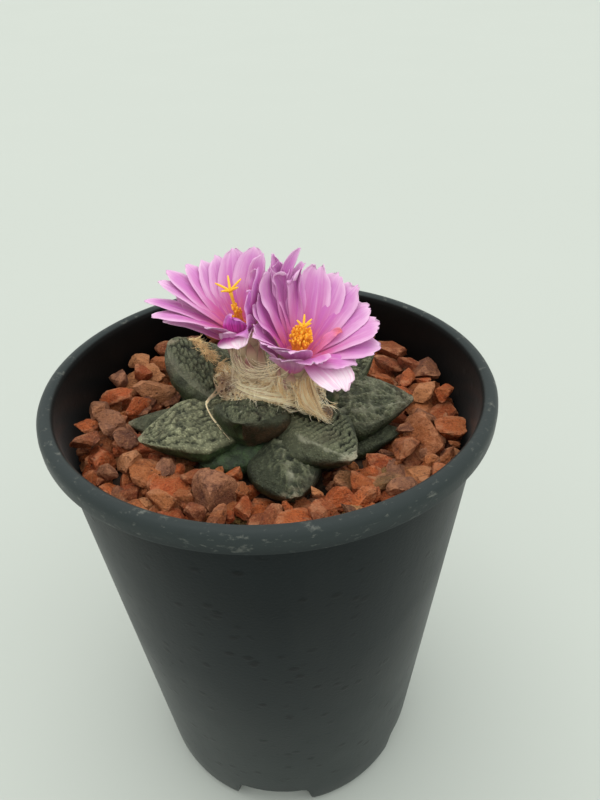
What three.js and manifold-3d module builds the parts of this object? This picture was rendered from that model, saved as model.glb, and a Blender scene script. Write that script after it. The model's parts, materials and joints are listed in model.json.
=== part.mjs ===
// Potted living rock cactus in flower.
// Millimetres, +Z up. The origin is the middle of the pot's footprint on the table.
import * as THREE from 'three';
import { mergeVertices } from 'three/addons/utils/BufferGeometryUtils.js';
import { ConvexGeometry } from 'three/addons/geometries/ConvexGeometry.js';
import Module from 'manifold-3d';

const wasm = await Module();
wasm.setup();

// Pot
const POT_HEIGHT = 125;
const POT_SIDES = 40;
const RIM_RADIUS = 51;
const WALL_OUT_TOP = 48.2;
const WALL_OUT_LOW = 39.4;
const WALL_IN_TOP = 47.1;
const LIP_BOTTOM = 120.3;
const FLOOR_UNDER = 10.7;
const FLOOR_TOP = 12;
const WALL_IN_FLOOR = 38.9;
const NOTCHES = 5;
const NOTCH_FIRST = -95.9;
const NOTCH_HEIGHT = 10.2;
const NOTCH_LOW_HALF = 11;
const NOTCH_HIGH_HALF = 9.4;
const DRAIN_RADIUS = 3.6;
const DRAIN_CIRCLE = 28;

// Filling
const GAP = 0.35;
const SOIL_TOP = 100;
const BED_TOP = 108.5;
const STONE_LEVEL = 109.6;
const STONE_TRIES = 3000;
const STONE_SEED = 71;

// Plant
const STEM_SIDES = 12;
const STEM = [
  [38, 0.8], [42, 2.2], [52, 4.4], [64, 6.8], [76, 9.4], [88, 11.8], [99, 13.4],
  [106, 13.2], [112, 11.4], [116, 8.6], [117.6, 5.6], [118.3, 2.6],
];

// Each tubercle: root, tip, width, depth, roll in degrees, bluntness of the tip, share of the
// depth kept at the tip, height of the crown as a share of the half width
const TUBERCLES = [
  [[1.2, -7, 111.2], [5.2, -27, 111.4], 17, 9, 2, 0.7, 0.62, 0.4],
  [[-6, -2.6, 115], [-28.6, -12.2, 115.6], 18, 10, -13, 0.3, 0.5, 0.16],
  [[-12, 1, 109.5], [-34, -1.2, 112.2], 13, 7, -6, 0.3, 0.35, 0.25],
  [[-8, 3.6, 115], [-24, 15, 125.4], 19, 9, 4, 0.95, 0.4, 0.14],
  [[-2.2, -1.4, 117.2], [-6.2, -14.6, 121.2], 18, 8.5, 0, 0.6, 0.95, 0.16],
  [[4.6, -4.4, 115], [17.6, -21, 115.8], 18, 9.5, 8, 0.4, 0.5, 0.2],
  [[9, 0.6, 114.6], [33.2, 0.4, 115.8], 19, 10, 16, 0.4, 0.5, 0.2],
  [[11, -4, 107], [30.4, -4.2, 109.8], 12, 6, 6, 0.35, 0.4, 0.2],
  [[8, 6, 113.6], [25.6, 14.6, 121.4], 15, 8, 6, 0.4, 0.4, 0.16],
  [[5, -1, 113.6], [15.4, -3.6, 122], 11, 6, 0, 0.5, 0.7, 0.2],
  [[-6, 9, 110], [-17.4, 27, 117.6], 16, 8, 0, 0.35, 0.4, 0.16],
  [[-1, 10, 110], [-2.2, 31.4, 116.6], 16, 8, 0, 0.3, 0.4, 0.2],
  [[5, 9, 110], [12.6, 28.4, 117.4], 16, 8, 0, 0.35, 0.4, 0.16],
  [[8, 7, 108], [24.2, 22.4, 112.4], 14, 7, 0, 0.3, 0.35, 0.25],
  [[-2, 5, 113], [-6.6, 17.6, 123.4], 14, 7, 0, 0.45, 0.5, 0.16],
  [[3, 5, 113], [8.2, 17, 123], 13, 7, 0, 0.45, 0.5, 0.16],
  [[-9, 7, 106.5], [-27.4, 20.8, 110.6], 13, 6.5, 0, 0.35, 0.35, 0.25],
  [[-4, -5, 107], [-16, -15, 107.6], 13, 6, 0, 0.5, 0.5, 0.2],
];
// Smooth flesh between the bases: middle and half sizes
const SADDLES = [
  [[-2.6, -9.6, 108.6], [10, 6.6, 4.6]],
  [[8.6, -9, 108.4], [7, 6, 4.2]],
  [[9, 4, 108], [8, 8, 5]],
];
const STATIONS = [0, 0.26, 0.5, 0.72, 0.9, 1];

// Flowers: left and right bloom, with a bent surface between them
const PETAL_HALF = 0.32;
const PETAL_SPREAD = 1.14;
const ROLL = 0.22;
const DIVIDE_X = -1.2;
const DIVIDE_SLOPE = 0.33;
const DIVIDE_LEAN = 0.35;
const PETAL_ROWS = [0, 0.28, 0.58, 0.84, 1];
const LEFT = {
  side: -1,
  throat: [-5.8, 2, 135.6],
  foot: [-3.4, 2, 119],
  lean: [-0.16, -0.12, 1],
  seed: 11,
  // Each petal: bearing in degrees, reach, rise, width, angle of its tip above level, and how far
  // it opens away from the tube if that is unusual
  petals: [
    [182, 20, 7, 5.1, 8], [170, 17.6, 9.8, 5.8, 22], [158, 17.3, 10.9, 6, 28],
    [144, 14.4, 11.3, 5.8, 34], [130, 13.3, 11.5, 6, 38], [116, 12.4, 12.2, 6, 42],
    [97, 11.1, 14, 6.5, 52], [70, 10.8, 14.6, 6.3, 55], [40, 8, 14.5, 6, 66],
    [10, 5.6, 13, 5.8, 76], [-25, 6, 10, 5.8, 66], [-62, 7.5, 3, 6.3, 5],
    [-84, 8.6, -3.2, 8.2, -70, 86], [-135, 9.6, 3, 3.9, 5], [197, 18.7, 5.6, 6.5, 2],
  ],
};
const RIGHT = {
  side: 1,
  throat: [6.8, -2, 130.6],
  foot: [4.4, -0.6, 119],
  lean: [0.2, -0.16, 1],
  seed: 23,
  petals: [
    [-4, 18.2, 7, 6.5, 12], [-15, 17.8, 3, 6.5, -6], [12, 16.6, 8.8, 6.3, 20],
    [30, 15.7, 12, 6.5, 32], [46, 14.2, 13.8, 6.5, 42], [64, 12.2, 15.7, 6.7, 55],
    [84, 9.4, 20.6, 5.1, 84], [96, 5.4, 16.4, 6.2, 215], [106, 7.6, 17, 6.3, 125],
    [126, 9.4, 19.6, 5, 100], [148, 9.6, 14.6, 6.3, 80], [168, 10.8, 11.4, 6.5, 62],
    [188, 10.8, 8, 6.5, 45], [212, 11, 7.5, 6.5, 25],
    [238, 11.5, 6.2, 6.5, 10], [264, 11.6, 5.4, 6.5, 5], [290, 12.2, 3.6, 6.5, -5],
    [310, 14.6, -3, 7.7, -52], [329, 13.8, 1.2, 7, -18],
  ],
};

// Wool: blobs with a middle, three half sizes
const WOOL = [
  [[-2.4, 0.6, 120], [7, 5.8, 4]],
  [[5, -0.8, 120], [6.6, 6, 4]],
  [[-9.2, 1.6, 120.6], [3, 3.4, 2.2]],
  [[10.6, -4.4, 120.6], [2.6, 3.8, 2.8]],
  [[12.6, -8, 119.4], [2.4, 3.6, 2]],
  [[-12, 6, 121.8], [2.6, 4.2, 1.9]],
  [[-16, 10.8, 123], [4.6, 3, 1.9]],
];

function seeded(seed) {
  let state = seed >>> 0;
  return () => {
    state = (state + 0x6d2b79f5) >>> 0;
    let t = state;
    t = Math.imul(t ^ (t >>> 15), t | 1);
    t ^= t + Math.imul(t ^ (t >>> 7), t | 61);
    return ((t ^ (t >>> 14)) >>> 0) / 4294967296;
  };
}

const vec = (p) => new THREE.Vector3(p[0], p[1], p[2]);
const rad = (degrees) => (degrees * Math.PI) / 180;

function solidFrom(points, faces) {
  const at = (i) => points[i];
  let volume = 0;
  for (const [a, b, c] of faces) {
    volume += at(a).dot(new THREE.Vector3().crossVectors(at(b), at(c)));
  }
  const turned = volume < 0 ? faces.map(([a, b, c]) => [a, c, b]) : faces;
  return new wasm.Manifold(new wasm.Mesh({
    numProp: 3,
    vertProperties: Float32Array.from(points.flatMap((p) => [p.x, p.y, p.z])),
    triVerts: Uint32Array.from(turned.flat()),
  }));
}

function solidOf(geometry) {
  geometry.deleteAttribute('normal');
  geometry.deleteAttribute('uv');
  const merged = mergeVertices(geometry, 1e-4);
  const position = merged.getAttribute('position');
  const points = [];
  for (let i = 0; i < position.count; i += 1) {
    points.push(new THREE.Vector3().fromBufferAttribute(position, i));
  }
  const faces = [];
  const index = merged.index.array;
  for (let i = 0; i < index.length; i += 3) {
    const [a, b, c] = [index[i], index[i + 1], index[i + 2]];
    if (a !== b && b !== c && c !== a) faces.push([a, b, c]);
  }
  return solidFrom(points, faces);
}

function lathe(profile, sides, [x, y, z] = [0, 0, 0]) {
  const outline = profile.map(([r, height]) => new THREE.Vector2(r, height));
  return solidOf(new THREE.LatheGeometry(outline, sides).rotateX(Math.PI / 2).translate(x, y, z));
}

// Rings of points, one after another, closed by a fan at each end
function loft(rings) {
  const points = rings.flat();
  const n = rings[0].length;
  const faces = [];
  for (let k = 0; k + 1 < rings.length; k += 1) {
    for (let i = 0; i < n; i += 1) {
      const a = k * n + i;
      const b = k * n + ((i + 1) % n);
      faces.push([a, b, b + n], [a, b + n, a + n]);
    }
  }
  const last = (rings.length - 1) * n;
  for (let i = 1; i + 1 < n; i += 1) {
    faces.push([0, i + 1, i], [last, last + i, last + i + 1]);
  }
  return solidFrom(points, faces);
}

// A thin leaf from a grid of points, thickened by the same amount on both faces
function blade(grid, half) {
  const rows = grid.length;
  const columns = grid[0].length;
  const points = [];
  for (const sign of [1, -1]) {
    for (let i = 0; i < rows; i += 1) {
      for (let j = 0; j < columns; j += 1) {
        const along = grid[Math.min(i + 1, rows - 1)][j].clone().sub(grid[Math.max(i - 1, 0)][j]);
        const across = grid[i][Math.min(j + 1, columns - 1)].clone()
          .sub(grid[i][Math.max(j - 1, 0)]);
        const normal = along.cross(across).normalize();
        points.push(grid[i][j].clone().addScaledVector(normal, sign * half));
      }
    }
  }
  const size = rows * columns;
  const faces = [];
  for (let i = 0; i + 1 < rows; i += 1) {
    for (let j = 0; j + 1 < columns; j += 1) {
      const a = i * columns + j;
      const [b, c, d] = [a + 1, a + columns + 1, a + columns];
      faces.push([a, d, c], [a, c, b], [size + a, size + c, size + d], [size + a, size + b, size + c]);
    }
  }
  const edge = [];
  for (let j = 0; j < columns - 1; j += 1) edge.push(j);
  for (let i = 0; i < rows - 1; i += 1) edge.push(i * columns + columns - 1);
  for (let j = columns - 1; j > 0; j -= 1) edge.push((rows - 1) * columns + j);
  for (let i = rows - 1; i > 0; i -= 1) edge.push(i * columns);
  edge.forEach((a, k) => {
    const b = edge[(k + 1) % edge.length];
    faces.push([a, b, size + b], [a, size + b, size + a]);
  });
  return solidFrom(points, faces);
}

function union(solids) {
  let list = solids;
  while (list.length > 1) {
    const next = [];
    for (let i = 0; i < list.length; i += 2) {
      next.push(i + 1 < list.length ? list[i].add(list[i + 1]) : list[i]);
    }
    list = next;
  }
  return list[0];
}

// The outer skin of the largest piece, without closed hollows and loose crumbs
function largest(solid) {
  const mesh = solid.getMesh();
  const { vertProperties: v, triVerts: t } = mesh;
  const parent = Array.from({ length: v.length / 3 }, (_, i) => i);
  const find = (i) => {
    let k = i;
    while (parent[k] !== k) {
      parent[k] = parent[parent[k]];
      k = parent[k];
    }
    return k;
  };
  for (let i = 0; i < t.length; i += 3) {
    parent[find(t[i])] = find(t[i + 1]);
    parent[find(t[i + 1])] = find(t[i + 2]);
  }
  const at = (i) => new THREE.Vector3(v[i * 3], v[i * 3 + 1], v[i * 3 + 2]);
  const volumes = new Map();
  for (let i = 0; i < t.length; i += 3) {
    const key = find(t[i]);
    const part = at(t[i]).dot(at(t[i + 1]).cross(at(t[i + 2])));
    volumes.set(key, (volumes.get(key) || 0) + part);
  }
  const best = [...volumes.entries()].sort((a, b) => b[1] - a[1])[0][0];
  const renumber = new Map();
  const points = [];
  const faces = [];
  for (let i = 0; i < t.length; i += 3) {
    if (find(t[i]) !== best) continue;
    faces.push([t[i], t[i + 1], t[i + 2]].map((k) => {
      if (!renumber.has(k)) {
        renumber.set(k, points.length);
        points.push(at(k));
      }
      return renumber.get(k);
    }));
  }
  return solidFrom(points, faces);
}

const wallInside = (z) => WALL_IN_FLOOR
  + ((z - FLOOR_TOP) * (WALL_IN_TOP - WALL_IN_FLOOR)) / (120 - FLOOR_TOP);

function pot() {
  const body = lathe([
    [0, FLOOR_UNDER], [38.6, FLOOR_UNDER], [36, 0], [37.5, 0], [38.7, 1.4], [WALL_OUT_LOW, 4],
    [WALL_OUT_TOP, LIP_BOTTOM], [48.7, 123.6], [49.8, 123.6], [50, LIP_BOTTOM],
    [RIM_RADIUS, LIP_BOTTOM], [RIM_RADIUS, 123.2], [50, POT_HEIGHT], [48.4, POT_HEIGHT],
    [47.4, 123.6], [WALL_IN_FLOOR, FLOOR_TOP], [0, FLOOR_TOP],
  ], POT_SIDES);
  const cuts = [];
  for (let k = 0; k < NOTCHES; k += 1) {
    const outline = new THREE.Shape([
      new THREE.Vector2(-NOTCH_LOW_HALF - 0.4, -1), new THREE.Vector2(NOTCH_LOW_HALF + 0.4, -1),
      new THREE.Vector2(NOTCH_HIGH_HALF, NOTCH_HEIGHT - 1.6),
      new THREE.Vector2(NOTCH_HIGH_HALF - 1.8, NOTCH_HEIGHT),
      new THREE.Vector2(-NOTCH_HIGH_HALF + 1.8, NOTCH_HEIGHT),
      new THREE.Vector2(-NOTCH_HIGH_HALF, NOTCH_HEIGHT - 1.6),
    ]);
    const bearing = rad(NOTCH_FIRST + (360 * k) / NOTCHES);
    const block = new THREE.ExtrudeGeometry(outline, { depth: 14, bevelEnabled: false })
      .rotateX(Math.PI / 2).translate(0, 44, 0).rotateZ(bearing - Math.PI / 2);
    const drain = new THREE.CylinderGeometry(DRAIN_RADIUS, DRAIN_RADIUS, 6, 10)
      .rotateX(Math.PI / 2).translate(DRAIN_CIRCLE, 0, FLOOR_TOP - 1).rotateZ(bearing);
    cuts.push(solidOf(block), solidOf(drain));
  }
  return body.subtract(union(cuts));
}

function stem(grow) {
  const random = seeded(5);
  const rings = STEM.map(([z, r], k) => {
    const end = k === 0 ? -grow : (k === STEM.length - 1 ? grow : 0);
    const ring = [];
    for (let i = 0; i < STEM_SIDES; i += 1) {
      const a = (2 * Math.PI * i) / STEM_SIDES;
      const wide = r * (1 - 0.06 * random()) + grow;
      ring.push(new THREE.Vector3(wide * Math.cos(a), wide * Math.sin(a), z + end));
    }
    return ring;
  });
  return loft(rings);
}

// Section of a tubercle: a warty crowned face above, with the crown as 1, and a keel below
const SECTION = [
  [1, 0], [0.56, 0.7], [0, 1], [-0.56, 0.7], [-1, 0],
  [-0.9, -0.5], [-0.4, -0.92], [0.4, -0.92], [0.9, -0.5],
];

const step = (a, b, x) => {
  const t = Math.min(1, Math.max(0, (x - a) / (b - a)));
  return t * t * (3 - 2 * t);
};

function tubercleWidth(u, blunt) {
  const spread = 0.6 + 0.4 * Math.sin((Math.PI / 2) * Math.min(1, u / 0.5));
  if (u <= 0.5) return spread;
  const s = (u - 0.5) / 0.5;
  return (1 - blunt) * (1 - 0.95 * s ** 1.15) + blunt * Math.sqrt(Math.max(0.05, 1 - 0.9 * s * s));
}

function tubercle([root, tip, width, depth, roll, blunt, heel, crown], seed, grow) {
  const random = seeded(seed);
  const [a, b] = [vec(root), vec(tip)];
  const axis = b.clone().sub(a).normalize();
  const side = axis.clone().cross(new THREE.Vector3(0, 0, 1)).normalize()
    .applyAxisAngle(axis, rad(roll));
  const up = side.clone().cross(axis);
  const length = a.distanceTo(b);
  const rings = STATIONS.map((u, k) => {
    const wide = (width / 2) * tubercleWidth(u, blunt);
    const kept = u < 0.4 ? 0.9 + 0.1 * (u / 0.4) : 1 - (1 - heel) * ((u - 0.4) / 0.6) ** 1.5;
    const deep = depth * kept * (1 - 0.35 * step(0.9, 1, u));
    const reach = u * length + (k === STATIONS.length - 1 ? grow : 0);
    const rise = 0.09 * depth * Math.sin(Math.PI * u);
    return SECTION.map(([x, y], i) => {
      const wart = i > 0 && i < 4 && u > 0.1 && u < 0.97
        ? (k % 2 ? 0.55 : -0.35) * (0.6 + 0.8 * random()) : 0;
      const flat = new THREE.Vector2(x * wide, y * (y > 0 ? crown * wide : deep) + wart);
      const out = new THREE.Vector2(x, y > 0 ? 0.4 * y + 0.3 : y).normalize();
      const back = 0.5 * step(0.4, 1, u) * Math.max(0, -flat.y);
      flat.addScaledVector(out, grow);
      return a.clone().addScaledVector(axis, reach - back).addScaledVector(side, flat.x)
        .addScaledVector(up, flat.y + rise);
    });
  });
  return loft(rings);
}

// A round lump with its half sizes, each corner moved in or out by up to the given shares
function lump([middle, half], detail, low, high, random, grow = 0) {
  const geometry = new THREE.IcosahedronGeometry(1, detail);
  geometry.deleteAttribute('normal');
  geometry.deleteAttribute('uv');
  const merged = mergeVertices(geometry, 1e-3);
  const position = merged.getAttribute('position');
  for (let i = 0; i < position.count; i += 1) {
    const bump = low + (high - low) * random();
    const at = [position.getX(i), position.getY(i), position.getZ(i)];
    position.setXYZ(i, ...at.map((d, k) => middle[k] + (half[k] * bump + grow) * d));
  }
  return solidOf(merged);
}

function cactus(grow) {
  const parts = [stem(grow)];
  const random = seeded(31);
  SADDLES.forEach((saddle) => parts.push(lump(saddle, 1, 0.97, 1.05, random, grow)));
  TUBERCLES.forEach((spec, k) => parts.push(tubercle(spec, 100 + k, grow)));
  return largest(union(parts));
}

function soil() {
  const body = lathe([
    [0, FLOOR_TOP + 0.3], [WALL_IN_FLOOR - 0.4, FLOOR_TOP + 0.3],
    [wallInside(SOIL_TOP) - 0.45, SOIL_TOP], [0, SOIL_TOP],
  ], 36);
  const hole = lathe([
    [0, 37], [1.6, 37], ...STEM.filter(([z]) => z > 38 && z < 100).map(([z, r]) => [r + 0.5, z]),
    [14.2, 101], [14.2, 106], [0, 106],
  ], 16);
  return body.subtract(hole);
}

// Middle, half size and turn of every stone of the top dressing
function stonePlaces() {
  const random = seeded(STONE_SEED);
  const places = [];
  for (let k = 0; k < STONE_TRIES; k += 1) {
    const size = 3.4 + 2.6 * random() ** 1.5;
    const r = Math.sqrt(random()) * (46.6 - size * 0.75);
    const a = 2 * Math.PI * random();
    const [x, y] = [r * Math.cos(a), r * Math.sin(a)];
    if (r < 21) continue;
    const near = places.some((p) => Math.hypot(p.x - x, p.y - y) < 0.9 * (p.size + size));
    if (near) continue;
    places.push({ x, y, z: STONE_LEVEL + 2.2 * (random() - 0.5), size, seed: 1000 + k });
  }
  return places;
}

function stone({ x, y, z, size, seed }) {
  const random = seeded(seed);
  const points = [];
  const [sx, sy, sz] = [size * (0.95 + 0.35 * random()), size * (0.7 + 0.3 * random()),
    size * (0.55 + 0.3 * random())];
  for (let k = 0; k < 8; k += 1) {
    if (k !== 5) points.push(new THREE.Vector3(
      sx * (k & 1 ? 1 : -1) * (0.58 + 0.32 * random()),
      sy * (k & 2 ? 1 : -1) * (0.58 + 0.32 * random()),
      sz * (k & 4 ? 1 : -1) * (0.6 + 0.3 * random()),
    ));
  }
  const turn = new THREE.Euler(0.9 * (random() - 0.5), 0.9 * (random() - 0.5), 2 * Math.PI * random());
  points.forEach((p) => p.applyEuler(turn).add(new THREE.Vector3(x, y, z)));
  return solidOf(new ConvexGeometry(points));
}

function gravel(plantRoom) {
  const bed = lathe([[0, SOIL_TOP + 0.3], [45.2, SOIL_TOP + 0.3], [45.8, BED_TOP], [0, BED_TOP]], 36);
  const inside = lathe([
    [0, SOIL_TOP + 0.3], [wallInside(SOIL_TOP) - 0.35, SOIL_TOP + 0.3],
    [wallInside(120) - 0.35, 120], [0, 120],
  ], 36);
  const heap = union([bed, ...stonePlaces().map(stone)]);
  const neck = lathe([[0, 99], [14.2, 99], [14.2, 107], [0, 107]], 16);
  return largest(heap.intersect(inside).subtract(plantRoom.add(neck)));
}

// Keeps the petals of each bloom on their own side of the surface between the two
function keepSide(point, side) {
  const [near, margin] = [0.62, 2.8];
  const lean = DIVIDE_LEAN * Math.min(5, Math.max(-5, point.z - 137)) * step(4, -2, point.y);
  const distance = side * (point.x - (DIVIDE_X + DIVIDE_SLOPE * point.y - lean));
  if (distance >= margin) return point;
  const kept = near + (margin - near) * Math.exp((distance - margin) / (margin - near));
  return point.setX(point.x + side * (kept - distance));
}

function petalWidth(u) {
  if (u < 0.68) return 0.2 + 0.8 * Math.sin((Math.PI / 2) * (u / 0.68)) ** 1.1;
  return Math.sqrt(1 - ((u - 0.68) / 0.35) ** 2);
}

function petal(bloom, [bearing, reach, rise, narrow, tipAngle, opening], sink, random) {
  const width = narrow * PETAL_SPREAD;
  const axis = vec(bloom.lean).normalize();
  const throat = vec(bloom.throat);
  const level = new THREE.Vector3(Math.cos(rad(bearing)), Math.sin(rad(bearing)), 0);
  const tip = throat.clone().addScaledVector(level, reach).add(new THREE.Vector3(0, 0, rise));
  const out = level.clone().addScaledVector(axis, -level.dot(axis)).normalize();
  const start = throat.clone().addScaledVector(out, 2.7 + 0.2 * sink)
    .addScaledVector(axis, -0.9 - sink);
  const length = start.distanceTo(tip);
  const open = rad(opening || (rise > 8 ? 24 : 42));
  const c1 = start.clone().addScaledVector(axis, 0.36 * length * Math.cos(open))
    .addScaledVector(out, 0.36 * length * Math.sin(open));
  const c2 = tip.clone().addScaledVector(level, -0.34 * length * Math.cos(rad(tipAngle)))
    .add(new THREE.Vector3(0, 0, -0.34 * length * Math.sin(rad(tipAngle))));
  const curve = new THREE.CubicBezierCurve3(start, c1, c2, tip);
  const side = axis.clone().cross(out).normalize();
  const cup = 0.03 + 0.08 * random();
  const roll = ROLL + 0.12 * (random() - 0.5);
  const grid = PETAL_ROWS.map((u) => {
    const middle = curve.getPoint(u);
    const tangent = curve.getTangent(u);
    const across = side.clone().applyAxisAngle(tangent, roll * Math.min(1, 2 * u));
    const normal = across.clone().cross(tangent).normalize();
    const half = (width / 2) * petalWidth(u);
    return [-1, 0, 1].map((v) => keepSide(middle.clone()
      .addScaledVector(across, v * half)
      .addScaledVector(normal, -width * cup * (v * v - 0.3) * Math.min(1, 0.4 + u)), bloom.side));
  });
  return blade(grid, PETAL_HALF);
}

function tube(bloom, grow) {
  const [foot, throat] = [vec(bloom.foot), vec(bloom.throat)];
  const axis = vec(bloom.lean).normalize();
  const curve = new THREE.QuadraticBezierCurve3(
    foot, throat.clone().addScaledVector(axis, -8), throat,
  );
  const side = new THREE.Vector3(1, 0, 0);
  const rings = [[0, 3.1], [0.3, 3.3], [0.65, 3.5], [0.9, 3.6], [1, 3.2]].map(([u, r], k, all) => {
    const end = k === 0 ? -grow : (k === all.length - 1 ? grow : 0);
    const middle = curve.getPoint(u);
    const tangent = curve.getTangent(u);
    middle.addScaledVector(tangent, end);
    const e1 = side.clone().addScaledVector(tangent, -side.dot(tangent)).normalize();
    const e2 = tangent.clone().cross(e1);
    return Array.from({ length: 12 }, (_, i) => middle.clone()
      .addScaledVector(e1, (r + grow) * Math.cos((Math.PI * i) / 6))
      .addScaledVector(e2, (r + grow) * Math.sin((Math.PI * i) / 6)));
  });
  return loft(rings);
}

function petals(bloom, plantRoom) {
  const random = seeded(bloom.seed);
  const order = [...bloom.petals].sort((p, q) => p[0] - q[0]);
  const parts = [tube(bloom, 0)];
  for (const spec of order) parts.push(petal(bloom, spec, 0, random));
  order.forEach((spec, k) => {
    const next = k + 1 < order.length ? order[k + 1] : [order[0][0] + 360, ...order[0].slice(1)];
    const between = spec.slice(0, 5).map((value, i) => (value + next[i]) / 2);
    if (k % 2 || spec[1] < 9 || Math.min(spec[2], next[2]) < 2) return;
    between[1] *= 0.8;
    between[2] = between[2] * 0.6 - 3;
    parts.push(petal(bloom, between, 3.6, random));
  });
  return largest(union(parts).subtract(plantRoom));
}

function rod(from, to, r0, r1, sides) {
  const axis = to.clone().sub(from).normalize();
  const helper = Math.abs(axis.z) < 0.9 ? new THREE.Vector3(0, 0, 1) : new THREE.Vector3(1, 0, 0);
  const e1 = axis.clone().cross(helper).normalize();
  const e2 = axis.clone().cross(e1);
  const ring = (middle, r) => Array.from({ length: sides }, (_, i) => middle.clone()
    .addScaledVector(e1, r * Math.cos((2 * Math.PI * i) / sides))
    .addScaledVector(e2, r * Math.sin((2 * Math.PI * i) / sides)));
  return loft([ring(from, r0), ring(to, r1)]);
}

// A tuft of filaments with an anther on each, round a style with a lobed stigma
function stamens(bloom, { count, spread, height, style, lobes }) {
  const random = seeded(bloom.seed + 500);
  const axis = vec(bloom.lean).normalize();
  const e1 = new THREE.Vector3(1, 0, 0).addScaledVector(axis, -axis.x).normalize();
  const e2 = axis.clone().cross(e1);
  const base = vec(bloom.throat).addScaledVector(axis, 0.3);
  const place = (x, y, z) => base.clone().addScaledVector(e1, x).addScaledVector(e2, y)
    .addScaledVector(axis, z);
  const parts = [rod(place(0, 0, 0), place(0, 0, 1.4), 1.75, 1.5, 10)];
  for (let k = 0; k < count; k += 1) {
    const a = 2.39996 * k;
    const r = Math.sqrt((k + 0.5) / count);
    const top = height * (1 - 0.35 * r * r) * (0.85 + 0.3 * random());
    const from = place(1.2 * r * Math.cos(a), 1.2 * r * Math.sin(a), 0.6);
    const to = place(spread * r * Math.cos(a), spread * r * Math.sin(a), top);
    parts.push(rod(from, to, 0.36, 0.34, 3));
    const anther = new THREE.OctahedronGeometry(0.62).scale(0.8, 0.8, 1.25)
      .rotateZ(2 * random()).translate(to.x, to.y, to.z);
    parts.push(solidOf(anther));
  }
  parts.push(rod(place(0, 0, 0.5), place(0, 0, style), 0.55, 0.42, 5));
  for (let k = 0; k < lobes; k += 1) {
    const a = (2 * Math.PI * (k + 0.3)) / lobes;
    parts.push(rod(place(0, 0, style - 0.4),
      place(2.1 * Math.cos(a), 2.1 * Math.sin(a), style + 1.5), 0.42, 0.3, 4));
  }
  return largest(union(parts));
}

function wool(plantRoom) {
  const random = seeded(9);
  const blobs = WOOL.map((blob) => lump(blob, 1, 0.84, 1.14, random));
  const bowl = [[0, -6.2], [3.4, -6], [6, -4.4], [10, -1.6], [10, 8], [0, 8]];
  const room = union([plantRoom, tube(LEFT, GAP), tube(RIGHT, GAP),
    lathe(bowl, 12, LEFT.throat), lathe(bowl, 12, RIGHT.throat)]);
  return largest(union(blobs).subtract(room));
}

function meshOf(name, solid, colour, roughness) {
  const { vertProperties, triVerts } = solid.getMesh();
  const geometry = new THREE.BufferGeometry();
  geometry.setAttribute('position', new THREE.BufferAttribute(vertProperties, 3));
  geometry.setIndex(new THREE.BufferAttribute(triVerts, 1));
  geometry.computeVertexNormals();
  const material = new THREE.MeshStandardMaterial({ color: colour, roughness, metalness: 0 });
  const mesh = new THREE.Mesh(geometry, material);
  mesh.name = name;
  return mesh;
}

const plantRoom = cactus(GAP);
const plant = new THREE.Group();
plant.name = 'potted_living_rock_cactus';
plant.add(meshOf('pot', pot(), 0x2b2e30, 0.55));
plant.add(meshOf('soil', soil(), 0x3b2a20, 0.95));
plant.add(meshOf('gravel', gravel(plantRoom), 0xa4603f, 0.9));
plant.add(meshOf('cactus_body', cactus(0), 0x5d6a58, 0.8));
plant.add(meshOf('crown_wool', wool(plantRoom), 0xcdb98a, 0.95));
plant.add(meshOf('flower_left_petals', petals(LEFT, plantRoom), 0xd07cc0, 0.6));
plant.add(meshOf('flower_right_petals', petals(RIGHT, plantRoom), 0xd583c4, 0.6));
plant.add(meshOf('flower_left_stamens',
  stamens(LEFT, { count: 7, spread: 1.4, height: 5.4, style: 8.4, lobes: 5 }), 0xf2a71e, 0.6));
plant.add(meshOf('flower_right_stamens',
  stamens(RIGHT, { count: 12, spread: 2.2, height: 6.2, style: 7.4, lobes: 5 }), 0xf2a71e, 0.6));

export default plant;
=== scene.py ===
import bpy, bmesh, json
from math import cos, exp, hypot, pi, radians, sin, sqrt
import numpy as np
from mathutils import Vector, Matrix, Quaternion, noise
from mathutils.bvhtree import BVHTree

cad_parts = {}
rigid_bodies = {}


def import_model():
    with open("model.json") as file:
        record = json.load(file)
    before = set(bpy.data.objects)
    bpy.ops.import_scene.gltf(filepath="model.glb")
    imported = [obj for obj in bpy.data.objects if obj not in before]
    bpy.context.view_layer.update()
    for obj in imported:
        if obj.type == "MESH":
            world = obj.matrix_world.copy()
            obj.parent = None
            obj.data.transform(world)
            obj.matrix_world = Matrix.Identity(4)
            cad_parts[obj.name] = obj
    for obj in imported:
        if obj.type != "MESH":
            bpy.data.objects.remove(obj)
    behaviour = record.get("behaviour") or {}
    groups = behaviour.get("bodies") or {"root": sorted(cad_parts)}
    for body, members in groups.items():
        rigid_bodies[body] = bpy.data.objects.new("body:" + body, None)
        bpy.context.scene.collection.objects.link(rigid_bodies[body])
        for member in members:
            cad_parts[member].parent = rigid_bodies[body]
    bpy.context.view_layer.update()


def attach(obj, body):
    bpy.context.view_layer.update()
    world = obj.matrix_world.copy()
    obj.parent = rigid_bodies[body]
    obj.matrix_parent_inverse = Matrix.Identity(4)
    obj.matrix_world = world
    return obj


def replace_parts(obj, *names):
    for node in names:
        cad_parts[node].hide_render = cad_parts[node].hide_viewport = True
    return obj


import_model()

MM = 0.001
# The golden angle in radians
GOLDEN = 2.39996


# Seeded draws and small helpers

def seeded(seed):
    state = [seed & 0xFFFFFFFF]

    def draw():
        state[0] = (state[0] + 0x6D2B79F5) & 0xFFFFFFFF
        t = state[0]
        t = ((t ^ (t >> 15)) * (t | 1)) & 0xFFFFFFFF
        t ^= (t + (((t ^ (t >> 7)) * (t | 61)) & 0xFFFFFFFF)) & 0xFFFFFFFF
        return ((t ^ (t >> 14)) & 0xFFFFFFFF) / 4294967296
    return draw


def lerp(a, b, t):
    return a + (b - a) * t


def clamp(x, lo=0.0, hi=1.0):
    return max(lo, min(hi, x))


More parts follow.
